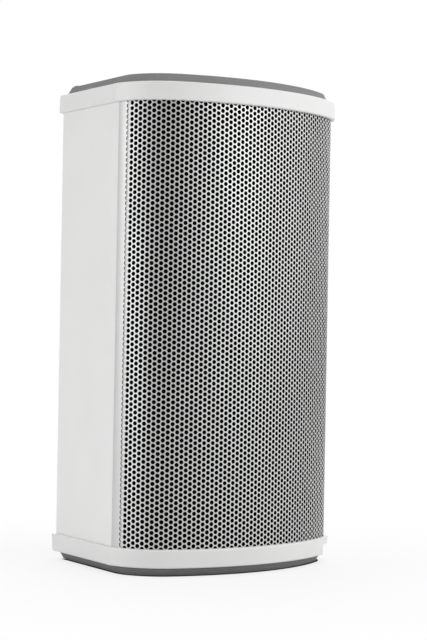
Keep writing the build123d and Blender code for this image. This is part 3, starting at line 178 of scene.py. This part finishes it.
def gloss_range(tree, shader, fac, low, high):
    """Roughness that runs from low to high over the noise's usual range."""
    ramp = node(tree, "ShaderNodeMapRange")
    for key, value in {"From Min": 0.3, "From Max": 0.7, "To Min": low, "To Max": high}.items():
        ramp.inputs[key].default_value = value
    tree.links.new(fac, ramp.inputs["Value"])
    tree.links.new(ramp.outputs["Result"], shader.inputs["Roughness"])


def relief(tree, shader, height, depth_mm, strength=1.0, below=None):
    """Bump of this real depth, laid over another bump if one is given."""
    made = node(tree, "ShaderNodeBump", Strength=strength, Distance=depth_mm * MM)
    tree.links.new(height, made.inputs["Height"])
    if below is not None:
        tree.links.new(below, made.inputs["Normal"])
    tree.links.new(made.outputs["Normal"], shader.inputs["Normal"])
    return made.outputs["Normal"]


def shade(colour, factor):
    """A colour made lighter or darker, and kept within white."""
    return tuple(min(1.0, c * factor) for c in colour)


def grained(name, colour, spread, rough, grain_mm, depth_mm, mottle_mm=14.0, metallic=0.0,
            stretch=(1.0, 1.0, 1.0), **sockets):
    """Paint, moulded plastic, rubber or ceramic: mottled colour and gloss, and a fine grain."""
    material, tree, shader, coords = start_material(name, metallic=metallic, **sockets)
    mottle = noise(tree, coords, mottle_mm, 4.0)
    tint(tree, shader, mottle, shade(colour, 1 - spread), shade(colour, 1 + spread))
    gloss_range(tree, shader, noise(tree, coords, mottle_mm * 0.4, 3.0), rough[0], rough[1])
    relief(tree, shader, noise(tree, coords, grain_mm, 3.0, stretch), depth_mm)
    return material


def woven(name, colour, pitch_mm, depth_mm, rough=0.9, across="X", **sockets):
    """Plain-woven cloth: over and under threads both ways, with uneven yarn."""
    material, tree, shader, coords = start_material(name, rough, **sockets)
    one = bands(tree, coords, pitch_mm, across)
    two = bands(tree, coords, pitch_mm, "Z")
    threads = math(tree, "MULTIPLY", one, two)
    yarn = noise(tree, coords, pitch_mm * 3, 4.0)
    mixed = math(tree, "ADD", math(tree, "MULTIPLY", threads, 0.6), math(tree, "MULTIPLY", yarn, 0.4))
    tint(tree, shader, mixed, shade(colour, 0.55), shade(colour, 1.35), 0.1, 0.7)
    relief(tree, shader, mixed, depth_mm)
    return material


def wound(name, colour, pitch_mm, axis, metallic, rough):
    """A winding: turns of wire or tape lying side by side along an axis."""
    material, tree, shader, coords = start_material(name, rough, metallic)
    turns = bands(tree, coords, pitch_mm, axis)
    uneven = noise(tree, coords, 4.0, 3.0)
    mixed = math(tree, "ADD", math(tree, "MULTIPLY", turns, 0.7), math(tree, "MULTIPLY", uneven, 0.3))
    tint(tree, shader, mixed, shade(colour, 0.55), shade(colour, 1.15), 0.1, 0.8)
    relief(tree, shader, turns, pitch_mm * 0.35)
    return material


def brushed(name, colour, rough, along=(1.0, 30.0, 1.0), metallic=1.0):
    """Plated or turned metal with fine lines along one axis and cloudy plating."""
    material, tree, shader, coords = start_material(name, metallic=metallic)
    lines = noise(tree, coords, 0.35, 2.0, along)
    cloud = noise(tree, coords, 6.0, 4.0)
    tint(tree, shader, cloud, shade(colour, 0.86), shade(colour, 1.06))
    gloss_range(tree, shader, lines, rough - 0.08, rough + 0.12)
    relief(tree, shader, lines, 0.01)
    return material


def printed_board(name, colour):
    """Green glass-epoxy laminate with copper tracks under the solder mask."""
    material, tree, shader, coords = start_material(name, 0.32, Coat_Weight=0.3)
    cells = node(tree, "ShaderNodeTexVoronoi", distance="CHEBYCHEV", feature="F1", Scale=1 / (7 * MM))
    tree.links.new(coords, cells.inputs["Vector"])
    tracks = math(tree, "GREATER_THAN", math(tree, "SINE", math(
        tree, "MULTIPLY", cells.outputs["Distance"], 24.0), 0.0), 0.2)
    weave = noise(tree, coords, 0.6, 2.0)
    mixed = math(tree, "ADD", math(tree, "MULTIPLY", tracks, 0.75), math(tree, "MULTIPLY", weave, 0.2))
    tint(tree, shader, mixed, shade(colour, 0.7), shade(colour, 1.9), 0.05, 0.9)
    relief(tree, shader, tracks, 0.03)
    return material


def ribbed(name, colour, rough, pitch_mm, depth_mm):
    """Moulded rubber with shallow level grooves and a fine grain."""
    material, tree, shader, coords = start_material(name)
    grooves = bands(tree, coords, pitch_mm, "Z")
    uneven = noise(tree, coords, 2.5, 3.0, (8.0, 8.0, 1.0))
    mixed = math(tree, "ADD", math(tree, "MULTIPLY", grooves, 0.6), math(tree, "MULTIPLY", uneven, 0.4))
    tint(tree, shader, mixed, shade(colour, 0.88), shade(colour, 1.12), 0.1, 0.9)
    gloss_range(tree, shader, noise(tree, coords, 3.2, 3.0), rough[0], rough[1])
    ribs = relief(tree, shader, grooves, depth_mm)
    relief(tree, shader, noise(tree, coords, 0.3, 3.0), 0.02, below=ribs)
    return material


def fibrous(name, colour, size_mm, depth_mm, spread=0.25, rough=0.95):
    """Wadding, felt or pressed pulp: tangled fibres."""
    material, tree, shader, coords = start_material(name, rough, Sheen_Weight=0.15)
    strands = noise(tree, coords, size_mm, 8.0, (1.0, 1.0, 3.0))
    tint(tree, shader, strands, shade(colour, 1 - spread), shade(colour, 1 + spread))
    relief(tree, shader, strands, depth_mm)
    return material


def powder_coat(name, colour, metallic, rough):
    """Sprayed powder coat: soft orange peel over a fine grain."""
    material, tree, shader, coords = start_material(
        name, metallic=metallic, Coat_Weight=0.10, Coat_Roughness=0.35
    )
    mottle = noise(tree, coords, 30.0, 3.0)
    tint(tree, shader, mottle, shade(colour, 0.985), shade(colour, 1.01))
    gloss_range(tree, shader, noise(tree, coords, 9.0, 3.0), rough - 0.03, rough + 0.04)
    peel = relief(tree, shader, noise(tree, coords, 1.6, 2.0), 0.012)
    relief(tree, shader, noise(tree, coords, 0.25, 2.0), 0.004, below=peel)
    return material


WHITE = (0.80, 0.80, 0.795)
GRILLE_WHITE = (0.62, 0.62, 0.616)
CAP_WHITE = (0.755, 0.755, 0.75)
PAD_GREY = (0.197, 0.197, 0.202)

SLOT_MATERIALS = {
    "shell_paint": powder_coat("shell_paint", WHITE, 0.0, 0.42),
    "grille_paint": powder_coat("grille_paint", GRILLE_WHITE, 0.6, 0.38),
    "cap_plastic": grained("cap_plastic", CAP_WHITE, 0.012, (0.40, 0.48), 0.35, 0.006, 25.0),
    "pad_rubber": ribbed("pad_rubber", PAD_GREY, (0.55, 0.68), 1.3, 0.10),
    "black_cloth": woven("black_cloth", (0.0016, 0.0016, 0.0017), 0.45, 0.12, Specular_IOR_Level=0.02),
    "foam": grained("foam", (0.035, 0.035, 0.04), 0.2, (0.85, 0.95), 0.4, 0.10, 3.0),
    "zinc_steel": brushed("zinc_steel", (0.62, 0.63, 0.66), 0.30),
    "black_oxide_steel": brushed("black_oxide_steel", (0.055, 0.055, 0.06), 0.38, metallic=0.8),
    "baffle_plastic": grained("baffle_plastic", (0.028, 0.028, 0.030), 0.10, (0.55, 0.68), 0.5, 0.03),
    "basket_paint": grained("basket_paint", (0.025, 0.025, 0.027), 0.10, (0.34, 0.46), 0.8, 0.02),
    "cone_paper": fibrous("cone_paper", (0.055, 0.053, 0.050), 1.2, 0.05),
    "surround_rubber": grained("surround_rubber", (0.018, 0.018, 0.019), 0.10, (0.45, 0.6), 0.3, 0.01),
    "spider_cloth": woven("spider_cloth", (0.50, 0.31, 0.10), 0.6, 0.10, 0.8),
    "coil_former": brushed("coil_former", (0.78, 0.78, 0.79), 0.25),
    "copper_wire": wound("copper_wire", (0.72, 0.30, 0.12), 0.5, "Y", 1.0, 0.28),
    "ferrite": grained("ferrite", (0.045, 0.045, 0.050), 0.20, (0.55, 0.75), 0.5, 0.04, 4.0),
    "plated_steel": brushed("plated_steel", (0.60, 0.61, 0.64), 0.28),
    "dome_silk": woven("dome_silk", (0.025, 0.025, 0.030), 0.25, 0.03, 0.55),
    "core_steel": wound("core_steel", (0.20, 0.20, 0.22), 0.5, "Z", 0.8, 0.45),
    "bobbin_plastic": grained("bobbin_plastic", (0.70, 0.69, 0.64), 0.04, (0.35, 0.5), 0.6, 0.02),
    "winding_tape": wound("winding_tape", (0.75, 0.52, 0.06), 7.0, "Y", 0.0, 0.22),
    "board_laminate": printed_board("board_laminate", (0.02, 0.16, 0.07)),
    "standoff_nylon": grained("standoff_nylon", (0.76, 0.76, 0.73), 0.03, (0.35, 0.5), 0.6, 0.02),
    "capacitor_film": grained("capacitor_film", (0.50, 0.05, 0.03), 0.08, (0.12, 0.22), 3.0, 0.05),
    "cement": grained("cement", (0.68, 0.67, 0.63), 0.06, (0.80, 0.95), 0.6, 0.06, 3.0),
    "tray_plastic": grained("tray_plastic", (0.040, 0.040, 0.042), 0.08, (0.48, 0.60), 0.45, 0.03),
    "steatite": grained("steatite", (0.78, 0.75, 0.67), 0.04, (0.55, 0.70), 0.5, 0.03, 5.0),
    "terminal_brass": brushed("terminal_brass", (0.78, 0.56, 0.24), 0.25),
    "switch_plastic": grained("switch_plastic", (0.06, 0.06, 0.065), 0.08, (0.35, 0.5), 0.6, 0.02),
    "knob_plastic": grained("knob_plastic", (0.045, 0.045, 0.047), 0.08, (0.30, 0.42), 0.4, 0.015),
    "strip_board": fibrous("strip_board", (0.38, 0.20, 0.08), 0.8, 0.02, 0.2, 0.45),
    "wire_plastic": grained("wire_plastic", (0.42, 0.025, 0.02), 0.06, (0.28, 0.4), 1.0, 0.01),
    "wool": fibrous("wool", (0.72, 0.72, 0.70), 1.5, 0.6),
}

for entry in frame["record"]["subparts"]:
    mesh = frame["nodes"][entry["node"]].data
    mesh.materials.clear()
    mesh.materials.append(SLOT_MATERIALS[entry["material_slot"]])


# the wall of each hole, given a dark material as painted shade, darker than the sheet's face so that the
# holes read black
HOLE_WALL_PAINTED_SHADE = brushed("hole_wall_painted_shade", (0.05, 0.05, 0.05), 0.55, metallic=0.3)


def finish_as(piece, slot):
    """Gives a new piece a slot's material."""
    piece.data.materials.append(SLOT_MATERIALS[slot])


# ------------------------------------------------------------------ perforated grille

SHEET = 0.6
HOLE_RADIUS = 1.22
COAT_ROUND = 0.06
COLUMN_STEP = 2.67
ROW_STEP = 3.0
COLUMNS = 71
ROWS = 83
RIM_POINTS = 12
STRIPS = 4
SHEET_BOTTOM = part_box("front_grille")[0].z / MM
SHEET_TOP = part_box("front_grille")[1].z / MM
FIRST_ROW = 15.4
EDGE_LINE = 2.4
EDGE_S = CREASE_S - 0.02
HOOK_REACH = 4.5
FOLD_LEAD = 0.08
MARGIN_LINES = 4
MERGE_STEPS = 2000   # points are joined where they agree to this many steps in a millimetre

# the fold into the shell, as front s, front o, back s and back o of each line, with s from EDGE_S
FOLD = (
    (-0.10, 0.00, -0.90, -SHEET),
    (-0.04, -0.02, -0.76, -SHEET - 0.10),
    (-0.01, -0.05, -0.66, -SHEET - 0.25),
    (0.00, -0.12, -0.60, -SHEET - 0.50),
    (0.00, -HOOK_REACH, -0.60, -HOOK_REACH),
)

# the six corners of the cell round each hole, where three cells meet
POINTED = (COLUMN_STEP**2 + (ROW_STEP / 2) ** 2) / (2 * COLUMN_STEP)
FLAT = (COLUMN_STEP**2 - (ROW_STEP / 2) ** 2) / (2 * COLUMN_STEP)


def hole_cell():
    """One hole's cell as (s, z, o) offsets, its faces, and which back point lies behind each front one.

    The faces of the hole's wall come last.
    """
    half = ROW_STEP / 2
    hexagon = [(POINTED, 0), (FLAT, half), (-FLAT, half), (-POINTED, 0), (-FLAT, -half), (FLAT, -half)]
    turn = [2 * pi * k / RIM_POINTS for k in range(RIM_POINTS)]
    places = [(s, z, 0.0) for s, z in hexagon] + [(s, z, -SHEET) for s, z in hexagon]
    rims = []
    coat_rim = HOLE_RADIUS + COAT_ROUND
    for radius, out in ((coat_rim, 0.0), (HOLE_RADIUS, -COAT_ROUND), (HOLE_RADIUS, -SHEET)):
        rims.append(len(places))
        places += [(radius * cos(a), radius * sin(a), out) for a in turn]
    front, middle, back = rims
    faces = []
    for i in range(6):
        j = (i + 1) % 6
        a, b, c = 2 * i, 2 * i + 1, (2 * i + 2) % RIM_POINTS
        faces.append([i, j, front + c, front + b, front + a])
        faces.append([6 + j, 6 + i, back + a, back + b, back + c])
    for near, far in ((front, middle), (middle, back)):
        for k in range(RIM_POINTS):
            n = (k + 1) % RIM_POINTS
            faces.append([near + k, near + n, far + n, far + k])
    return np.array(places), faces, {i: i + 6 for i in range(6)}


def column_s(column):
    """How far along the front a column of holes is."""
    return (column - (COLUMNS - 1) / 2) * COLUMN_STEP


def row_z(column):
    """Heights of a column's hole centres. Every second column starts half a row higher."""
    start = FIRST_ROW + (ROW_STEP / 2 if column % 2 == 0 else 0.0)
    return start + ROW_STEP * np.arange(ROWS)


class SheetBuilder:
    """Gathers the two faces of a sheet, joins equal points, and closes its open edges."""

    def __init__(self):
        self.places = []
        self.faces = []
        self.behind = {}
        self.walls = []
        self.count = 0

    def add(self, places, faces, behind, walls=0):
        """Adds points and faces, of which the last few are hole walls."""
        start = self.count
        self.places.append(np.asarray(places, float))
        self.faces += [[start + i for i in f] for f in faces]
        self.walls += [i >= len(faces) - walls for i in range(len(faces))]
        self.behind.update({start + a: start + b for a, b in behind.items()})
        self.count += len(places)

    def add_quads(self, first, second):
        """Quads between two lines of (front place, back place) pairs. second lies to the right of first."""
        n = len(first)
        places = [p[layer] for layer in (0, 1) for line in (first, second) for p in line]
        faces = []
        for i in range(n - 1):
            faces.append([i, n + i, n + i + 1, i + 1])
            faces.append([2 * n + i, 2 * n + i + 1, 3 * n + i + 1, 3 * n + i])
        self.add(places, faces, {i: i + 2 * n for i in range(2 * n)})

    def build(self, name):
        """The sheet as a piece, with its equal points joined and its open edges closed."""
        places = np.concatenate(self.places)
        keys = np.round(places * MERGE_STEPS).astype(np.int64)
        _, first, merged = np.unique(keys, axis=0, return_index=True, return_inverse=True)
        merged = merged.reshape(-1)
        faces = [[int(merged[i]) for i in f] for f in self.faces]
        behind = {int(merged[a]): int(merged[b]) for a, b in self.behind.items()}
        edges = {(f[i - 1], f[i]) for f in faces for i in range(len(f))}
        for a, b in sorted(e for e in edges if (e[1], e[0]) not in edges):
            if a in behind and b in behind:
                faces.append([b, a, behind[a], behind[b]])
        piece = new_piece(name, on_front(places[first]), faces)
        # the hole walls take the second material, which is painted shade
        for face, wall in zip(piece.data.polygons, self.walls):
            face.material_index = int(wall)
        return piece


def pair(s, z, out=0.0, back_s=None, back_out=-SHEET):
    """A front place and the back place behind it."""
    return (s, z, out), (s if back_s is None else back_s, z, back_out)


def add_end_margins(sheet, columns):
    """The plain sheet below the lowest holes and above the highest ones."""
    half = ROW_STEP / 2
    low, high = [], []
    for column in columns:
        s = column_s(column)
        rows = row_z(column)
        for edge in (s - FLAT, s + FLAT):
            low.append((edge, rows[0] - half))
            high.append((edge, rows[-1] + half))
    for i in range(len(low) - 1):
        sheet.add_quads(
            [pair(low[i][0], SHEET_BOTTOM), pair(*low[i])],
            [pair(low[i + 1][0], SHEET_BOTTOM), pair(*low[i + 1])],
        )
        sheet.add_quads(
            [pair(*high[i]), pair(high[i][0], SHEET_TOP)],
            [pair(*high[i + 1]), pair(high[i + 1][0], SHEET_TOP)],
        )


def add_side_margin(sheet, side):
    """The plain edge of the sheet, and its fold into the shell. side is -1 for left or 1 for right."""
    half = ROW_STEP / 2
    outermost = abs(column_s(0))
    inner_rows = np.arange(FIRST_ROW, FIRST_ROW + half * (2 * ROWS + 0.5), half)
    levels = [SHEET_BOTTOM, *inner_rows, SHEET_TOP]
    zigzag = [FLAT] + [FLAT if k % 2 == 0 else POINTED for k in range(len(inner_rows))] + [FLAT]
    lines = [[pair(side * (outermost + w), z) for w, z in zip(zigzag, levels)]]
    start = outermost + EDGE_LINE
    end = EDGE_S + FOLD[0][0] - FOLD_LEAD
    for i in range(MARGIN_LINES):
        s = start + (end - start) * i / (MARGIN_LINES - 1)
        lines.append([pair(side * s, z) for z in levels])
    for s, out, back_s, back_out in FOLD:
        s += EDGE_S
        back_s += EDGE_S
        lines.append([pair(side * s, z, out, side * back_s, back_out) for z in levels])
    for one, two in zip(lines, lines[1:]):
        sheet.add_quads(*((one, two) if side > 0 else (two, one)))


def build_grille():
    """The perforated sheet, in upright strips that meet between two columns of holes."""
    places, faces, behind = hole_cell()
    bounds = [round(COLUMNS * k / STRIPS) for k in range(STRIPS + 1)]
    for k in range(STRIPS):
        sheet = SheetBuilder()
        columns = range(bounds[k], bounds[k + 1])
        for column in columns:
            for z in row_z(column):
                sheet.add(places + (column_s(column), z, 0.0), faces, behind, RIM_POINTS)
        add_end_margins(sheet, columns)
        if k == 0:
            add_side_margin(sheet, -1)
        if k == STRIPS - 1:
            add_side_margin(sheet, 1)
        strip = sheet.build(f"grille_strip_{k + 1}")
        finish_as(strip, "grille_paint")
        # the second material paints shade on the walls of the holes
        strip.data.materials.append(HOLE_WALL_PAINTED_SHADE)
        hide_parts("front_grille")


build_grille()


# ------------------------------------------------------------------ cloth behind the grille

CLOTH_END_ANGLE = radians(80.1)
CLOTH_EDGE = FRONT_ARC + CORNER_RADIUS * (CLOTH_END_ANGLE - FRONT_HALF_ANGLE)
CLOTH_FRONT = -0.75
CLOTH_BACK = -1.15
CLOTH_INSET = 0.2
CLOTH_POINTS = (96, 100)


def build_cloth():
    """The cloth, which follows the inside of the sheet and ends just short of its edges."""
    across, up = CLOTH_POINTS
    s_values = np.linspace(-CLOTH_EDGE, CLOTH_EDGE, across)
    z_values = np.linspace(SHEET_BOTTOM + CLOTH_INSET, SHEET_TOP - CLOTH_INSET, up)
    cloth = SheetBuilder()
    for left, right in zip(s_values, s_values[1:]):
        lines = [
            [pair(s, z, CLOTH_FRONT, s, CLOTH_BACK) for z in z_values] for s in (left, right)
        ]
        cloth.add_quads(*lines)
    piece = cloth.build("grille_cloth_sheet")
    finish_as(piece, "black_cloth")
    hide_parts("grille_cloth")


build_cloth()


# ------------------------------------------------------------------ damping wadding

WOOL_LEAN = radians(15.6)
WOOL_GRID = (6, 12, 50)
WOOL_SQUARENESS = 0.3
WOOL_DENT = 1.6
WOOL_LUMP = 16.0
WOOL_SIDE_SHIFT = 9.0   # how far apart the two pads' lumps are taken from the noise
CUBE_EDGE = 2.0
WHOLE_EDGE = 1.9        # an edge of the cube longer than this along an axis is not yet cut
CUBE_FACE = 0.999       # a point this far out along an axis is on the cube's face


def gridded_cube():
    """A cube from -1 to 1, with its edges cut into a fine grid."""
    shape = bmesh.new()
    bmesh.ops.create_cube(shape, size=CUBE_EDGE)
    for axis, count in enumerate(WOOL_GRID):
        along = [e for e in shape.edges if abs((e.verts[0].co - e.verts[1].co)[axis]) > WHOLE_EDGE]
        bmesh.ops.subdivide_edges(shape, edges=along, cuts=count, use_grid_fill=True)
    return shape


def wool_place(corner, half, side):
    """Where a point of the cube goes on a pad of this half size: rounded off, then dented in."""
    place = np.array(corner)
    size = (np.abs(place) ** (2 / WOOL_SQUARENESS)).sum() ** (WOOL_SQUARENESS / 2)
    place = place / max(size, 1.0) * half
    shift = Vector((side * WOOL_SIDE_SHIFT, 0, 0))
    lump = 0.5 + 0.5 * field.noise(Vector(place / (WOOL_LUMP * MM)) + shift)
    inwards = -np.sign(place) * (np.abs(np.array(corner)) > CUBE_FACE)
    return place + inwards * min(max(lump, 0.0), 1.0) * WOOL_DENT * MM


def wadding(name, side):
    """A soft, lumpy pad in the place of the wadding on one side of the cabinet."""
    solid = frame["nodes"]["damping_wool"]
    points = np.array([solid.matrix_world @ v.co for v in solid.data.vertices if v.co.x * side > 0])
    turn = np.array(Matrix.Rotation(side * WOOL_LEAN, 3, "Z"))
    local = points @ turn
    middle = (local.min(0) + local.max(0)) / 2
    half = (local.max(0) - local.min(0)) / 2
    mesh = bpy.data.meshes.new(name)
    shape = gridded_cube()
    for vertex in shape.verts:
        vertex.co = Vector(turn @ (middle + wool_place(vertex.co, half, side)))
    shape.to_mesh(mesh)
    shape.free()
    mesh.shade_smooth()
    piece = bpy.data.objects.new(name, mesh)
    scene.collection.objects.link(piece)
    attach(piece, "cabinet")
    finish_as(piece, "wool")
    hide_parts("damping_wool")


for label, side in (("left_wadding", -1), ("right_wadding", 1)):
    wadding(label, side)


# ------------------------------------------------------------------ rings copied from the drivers, in place of their CAD parts

# CAD node, moving body, height of the driver's axis, radius that moves in full, radius that stays still
FLEXING_RINGS = (
    ("woofer_surround", "woofer_cone_assembly", 100.0, 39.3, 43.4),
    ("woofer_spider", "woofer_cone_assembly", 100.0, 16.0, 30.0),
    ("tweeter_surround", "tweeter_dome_assembly", 205.0, 9.8, 12.4),
)


def flexing_ring(cad_node, body, axis_height, moving_radius, still_radius):
    """A copy of a driver's ring, with its slot's material, in place of its CAD part."""
    slot = next(e["material_slot"] for e in frame["record"]["subparts"] if e["node"] == cad_node)
    piece = bpy.data.objects.new(f"{cad_node}_ring", frame["nodes"][cad_node].data.copy())
    scene.collection.objects.link(piece)
    piece.data.materials.clear()
    finish_as(piece, slot)
    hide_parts(cad_node)
    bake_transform(piece)


for ring in FLEXING_RINGS:
    flexing_ring(*ring)


# ------------------------------------------------------------------ dial marks round the tap knob

DIAL_MIDDLE = (21.0, 36.0, 90.0)
DIAL_RADIUS = 12.6
DIAL_ANGLES = (60, 30, 0, -30, -60)
TICK_SIZE = (0.5, 1.6)
PRINT_THICKNESS = 0.08
DIGIT_HEIGHT = 3.2
DIGIT_GAP = 2.9


def dial_digit(number, direction, ink):
    """A plain number printed out from the knob in this direction, to be read from behind."""
    name = f"dial_digit_{number}"
    text = bpy.data.curves.new(name, "FONT")
    text.body = str(number)
    text.size = DIGIT_HEIGHT * MM
    text.extrude = PRINT_THICKNESS * MM
    text.align_x = "CENTER"
    text.align_y = "CENTER"
    digit = bpy.data.objects.new(name, text)
    digit.location = (Vector(DIAL_MIDDLE) + direction * (DIAL_RADIUS + DIGIT_GAP)) * MM
    digit.rotation_euler = (pi / 2, 0, pi)
    scene.collection.objects.link(digit)
    text.materials.append(ink)
    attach(digit, "cabinet")


def dial_tick(number, direction, across, ink):
    """A short printed line that points at a number."""
    centre = Vector(DIAL_MIDDLE) + direction * DIAL_RADIUS
    sideways = across * (TICK_SIZE[0] / 2)
    outwards = direction * (TICK_SIZE[1] / 2)
    points = []
    for rise in (-PRINT_THICKNESS, PRINT_THICKNESS):
        for a, b in ((-1, -1), (1, -1), (1, 1), (-1, 1)):
            points.append((centre + sideways * a + outwards * b + Vector((0, rise, 0))) * MM)
    faces = [[0, 1, 2, 3], [7, 6, 5, 4]]
    faces += [[i, i + 4, (i + 1) % 4 + 4, (i + 1) % 4] for i in range(4)]
    mark = new_piece(f"dial_tick_{number}", points, faces)
    mark.data.materials.append(ink)


def dial_marks():
    """Printed ticks and numbers on the tray's floor, at the knob's five settings."""
    ink = grained("white_print", (0.70, 0.70, 0.69), 0.05, (0.5, 0.65), 0.4, 0.01)
    for number, degrees in enumerate(DIAL_ANGLES, 1):
        angle = radians(degrees)
        # seen from behind, +X is to the left, so the numbers run up from left to right
        direction = Vector((sin(angle), 0, cos(angle)))
        across = Vector((cos(angle), 0, -sin(angle)))
        dial_digit(number, direction, ink)
        dial_tick(number, direction, across, ink)


dial_marks()


# ------------------------------------------------------------------ floor, light and camera

FLOOR_LIFT = 0.78
FLOOR_FADE_START = 0.05
FLOOR_FADE_END = 0.38
# the black patch under the bottom pad is a painted contact shadow
CONTACT_BELOW = 0.001
CONTACT_LIFT = 0.00005
CONTACT_SPREAD = 1.016
MIDDLE = (0.0, 0.0, 0.14)

# the softboxes that stand round the object: name, direction in degrees from +X, distance, height,
# side and power
SOFTBOXES = (
    ("left_softbox", 153.0, 1.4, 0.50, 0.9, 4.6),
    ("left_near", 180.0, 0.65, 0.10, 0.3, 0.50),
    ("left_fill", 185.0, 1.4, 0.40, 0.8, 0.6),
    ("right_softbox", 287.0, 1.4, 0.62, 0.8, 5.8),
    ("right_fill", 315.0, 1.4, 0.62, 1.1, 4.6),
    ("right_rim", 345.0, 1.4, 0.60, 0.9, 1.3),
    ("rear_softbox", 50.0, 1.4, 0.58, 0.8, 5.0),
    ("rear_fill", 20.0, 1.4, 0.58, 0.8, 1.4),
)

TOP_SOFTBOX = ((0.0, 0.0, 1.6), 1.2, 9.0)   # place, side and power
WORLD_LIGHT = 0.425
FLOOR_REACH = 6.0
LENS = 111.71
SENSOR_HEIGHT = 36.0
LENS_SHIFT = (0.0034, 0.0097)
CAMERA_PLACE = (-0.8086, -0.8429, 0.1387)
CAMERA_FORWARD = (0.6968, 0.7173, 0.0)
CAMERA_LEAN = radians(1.02)


def area_light(name, place, side, power):
    """A square softbox that faces the middle of the object."""
    data = bpy.data.lights.new(name, "AREA")
    data.shape = "RECTANGLE"
    data.size = side
    data.size_y = side
    data.energy = power
    light = bpy.data.objects.new(name, data)
    light.location = place
    light.rotation_euler = (Vector(MIDDLE) - Vector(place)).to_track_quat("-Z", "Y").to_euler()
    scene.collection.objects.link(light)


def build_floor():
    """White paper, which the camera sees turn into plain white away from the object."""
    mesh = bpy.data.meshes.new("floor")
    corners = [(x * FLOOR_REACH, y * FLOOR_REACH, 0) for x, y in ((-1, -1), (1, -1), (1, 1), (-1, 1))]
    mesh.from_pydata(corners, [], [[0, 1, 2, 3]])
    floor = bpy.data.objects.new("floor", mesh)
    scene.collection.objects.link(floor)
    material, tree, shader, coords = start_material("floor_paper", 0.8)
    tint(tree, shader, noise(tree, coords, 200.0, 2.0), (0.78, 0.78, 0.78), (0.80, 0.80, 0.80))
    distance = node(tree, "ShaderNodeVectorMath", operation="LENGTH")
    tree.links.new(coords, distance.inputs[0])
    fade = node(tree, "ShaderNodeMapRange", interpolation_type="SMOOTHSTEP")
    fade.inputs["From Min"].default_value = FLOOR_FADE_START
    fade.inputs["From Max"].default_value = FLOOR_FADE_END
    fade.inputs["To Min"].default_value = FLOOR_LIFT
    tree.links.new(distance.outputs["Value"], fade.inputs["Value"])
    path = tree.nodes.new("ShaderNodeLightPath")
    seen = math(tree, "MULTIPLY", fade.outputs["Result"], path.outputs["Is Camera Ray"])
    white = node(tree, "ShaderNodeEmission", Strength=1.0)
    white.inputs["Color"].default_value = (1.0, 1.0, 1.0, 1.0)
    mixer = tree.nodes.new("ShaderNodeMixShader")
    tree.links.new(seen, mixer.inputs[0])
    tree.links.new(shader.outputs[0], mixer.inputs[1])
    tree.links.new(white.outputs[0], mixer.inputs[2])
    tree.links.new(mixer.outputs[0], tree.nodes["Material Output"].inputs["Surface"])
    mesh.materials.append(material)


def outline_under(points):
    """The convex outline of these points seen from above, anticlockwise."""
    places = sorted({(round(p.x, 6), round(p.y, 6)) for p in points})
    sides = []
    for order in (places, places[::-1]):
        side = []
        for place in order:
            while len(side) > 1:
                (ax, ay), (bx, by) = side[-2:]
                if (bx - ax) * (place[1] - ay) > (by - ay) * (place[0] - ax):
                    break
                side.pop()
            side.append(place)
        sides.append(side[:-1])
    return sides[0] + sides[1]


def build_contact():
    """A black patch under the object, a little wider than it: a painted contact shadow that darkens the
    line of contact.
    """
    pad = frame["nodes"]["bottom_pad"]
    corners = [pad.matrix_world @ v.co for v in pad.data.vertices]
    outline = outline_under([c for c in corners if c.z < CONTACT_BELOW])
    mesh = bpy.data.meshes.new("contact")
    spread = [(x * CONTACT_SPREAD, y * CONTACT_SPREAD, CONTACT_LIFT) for x, y in outline]
    mesh.from_pydata(spread, [], [range(len(outline))])
    patch = bpy.data.objects.new("contact", mesh)
    scene.collection.objects.link(patch)
    mesh.materials.append(start_material("contact_shade", 0.9, Base_Color=(0.004, 0.004, 0.004, 1.0))[0])


def build_world():
    """White to the camera, and a dimmer even light on the object."""
    world = bpy.data.worlds.new("studio")
    scene.world = world
    world.use_nodes = True
    tree = world.node_tree
    background = tree.nodes["Background"]
    background.inputs["Color"].default_value = (1.0, 1.0, 1.0, 1.0)
    background.inputs["Strength"].default_value = WORLD_LIGHT
    backdrop = tree.nodes.new("ShaderNodeBackground")
    backdrop.inputs["Color"].default_value = (1.0, 1.0, 1.0, 1.0)
    backdrop.inputs["Strength"].default_value = 1.0
    path = tree.nodes.new("ShaderNodeLightPath")
    mixer = tree.nodes.new("ShaderNodeMixShader")
    tree.links.new(path.outputs["Is Camera Ray"], mixer.inputs[0])
    tree.links.new(background.outputs[0], mixer.inputs[1])
    tree.links.new(backdrop.outputs[0], mixer.inputs[2])
    tree.links.new(mixer.outputs[0], tree.nodes["World Output"].inputs["Surface"])


def build_camera():
    """The camera, level but for a slight lean, with its lens shifted off centre."""
    data = bpy.data.cameras.new("camera")
    data.sensor_fit = "VERTICAL"
    data.sensor_height = SENSOR_HEIGHT
    data.lens = LENS
    data.shift_x, data.shift_y = LENS_SHIFT
    camera = bpy.data.objects.new("camera", data)
    forward = Vector(CAMERA_FORWARD).normalized()
    upright = forward.to_track_quat("-Z", "Y").to_matrix().to_4x4()
    lean = Matrix.Rotation(CAMERA_LEAN, 4, "Z")
    camera.matrix_world = Matrix.Translation(CAMERA_PLACE) @ upright @ lean
    scene.collection.objects.link(camera)
    scene.camera = camera


def build_lights():
    """The softboxes round the object, and the one over it."""
    for name, direction, distance, height, side, power in SOFTBOXES:
        angle = radians(direction)
        place = (distance * cos(angle), distance * sin(angle), height)
        area_light(name, place, side, power)
    area_light("top_softbox", *TOP_SOFTBOX)


build_floor()
build_contact()
build_world()
build_camera()
build_lights()
scene.view_settings.view_transform = "Standard"
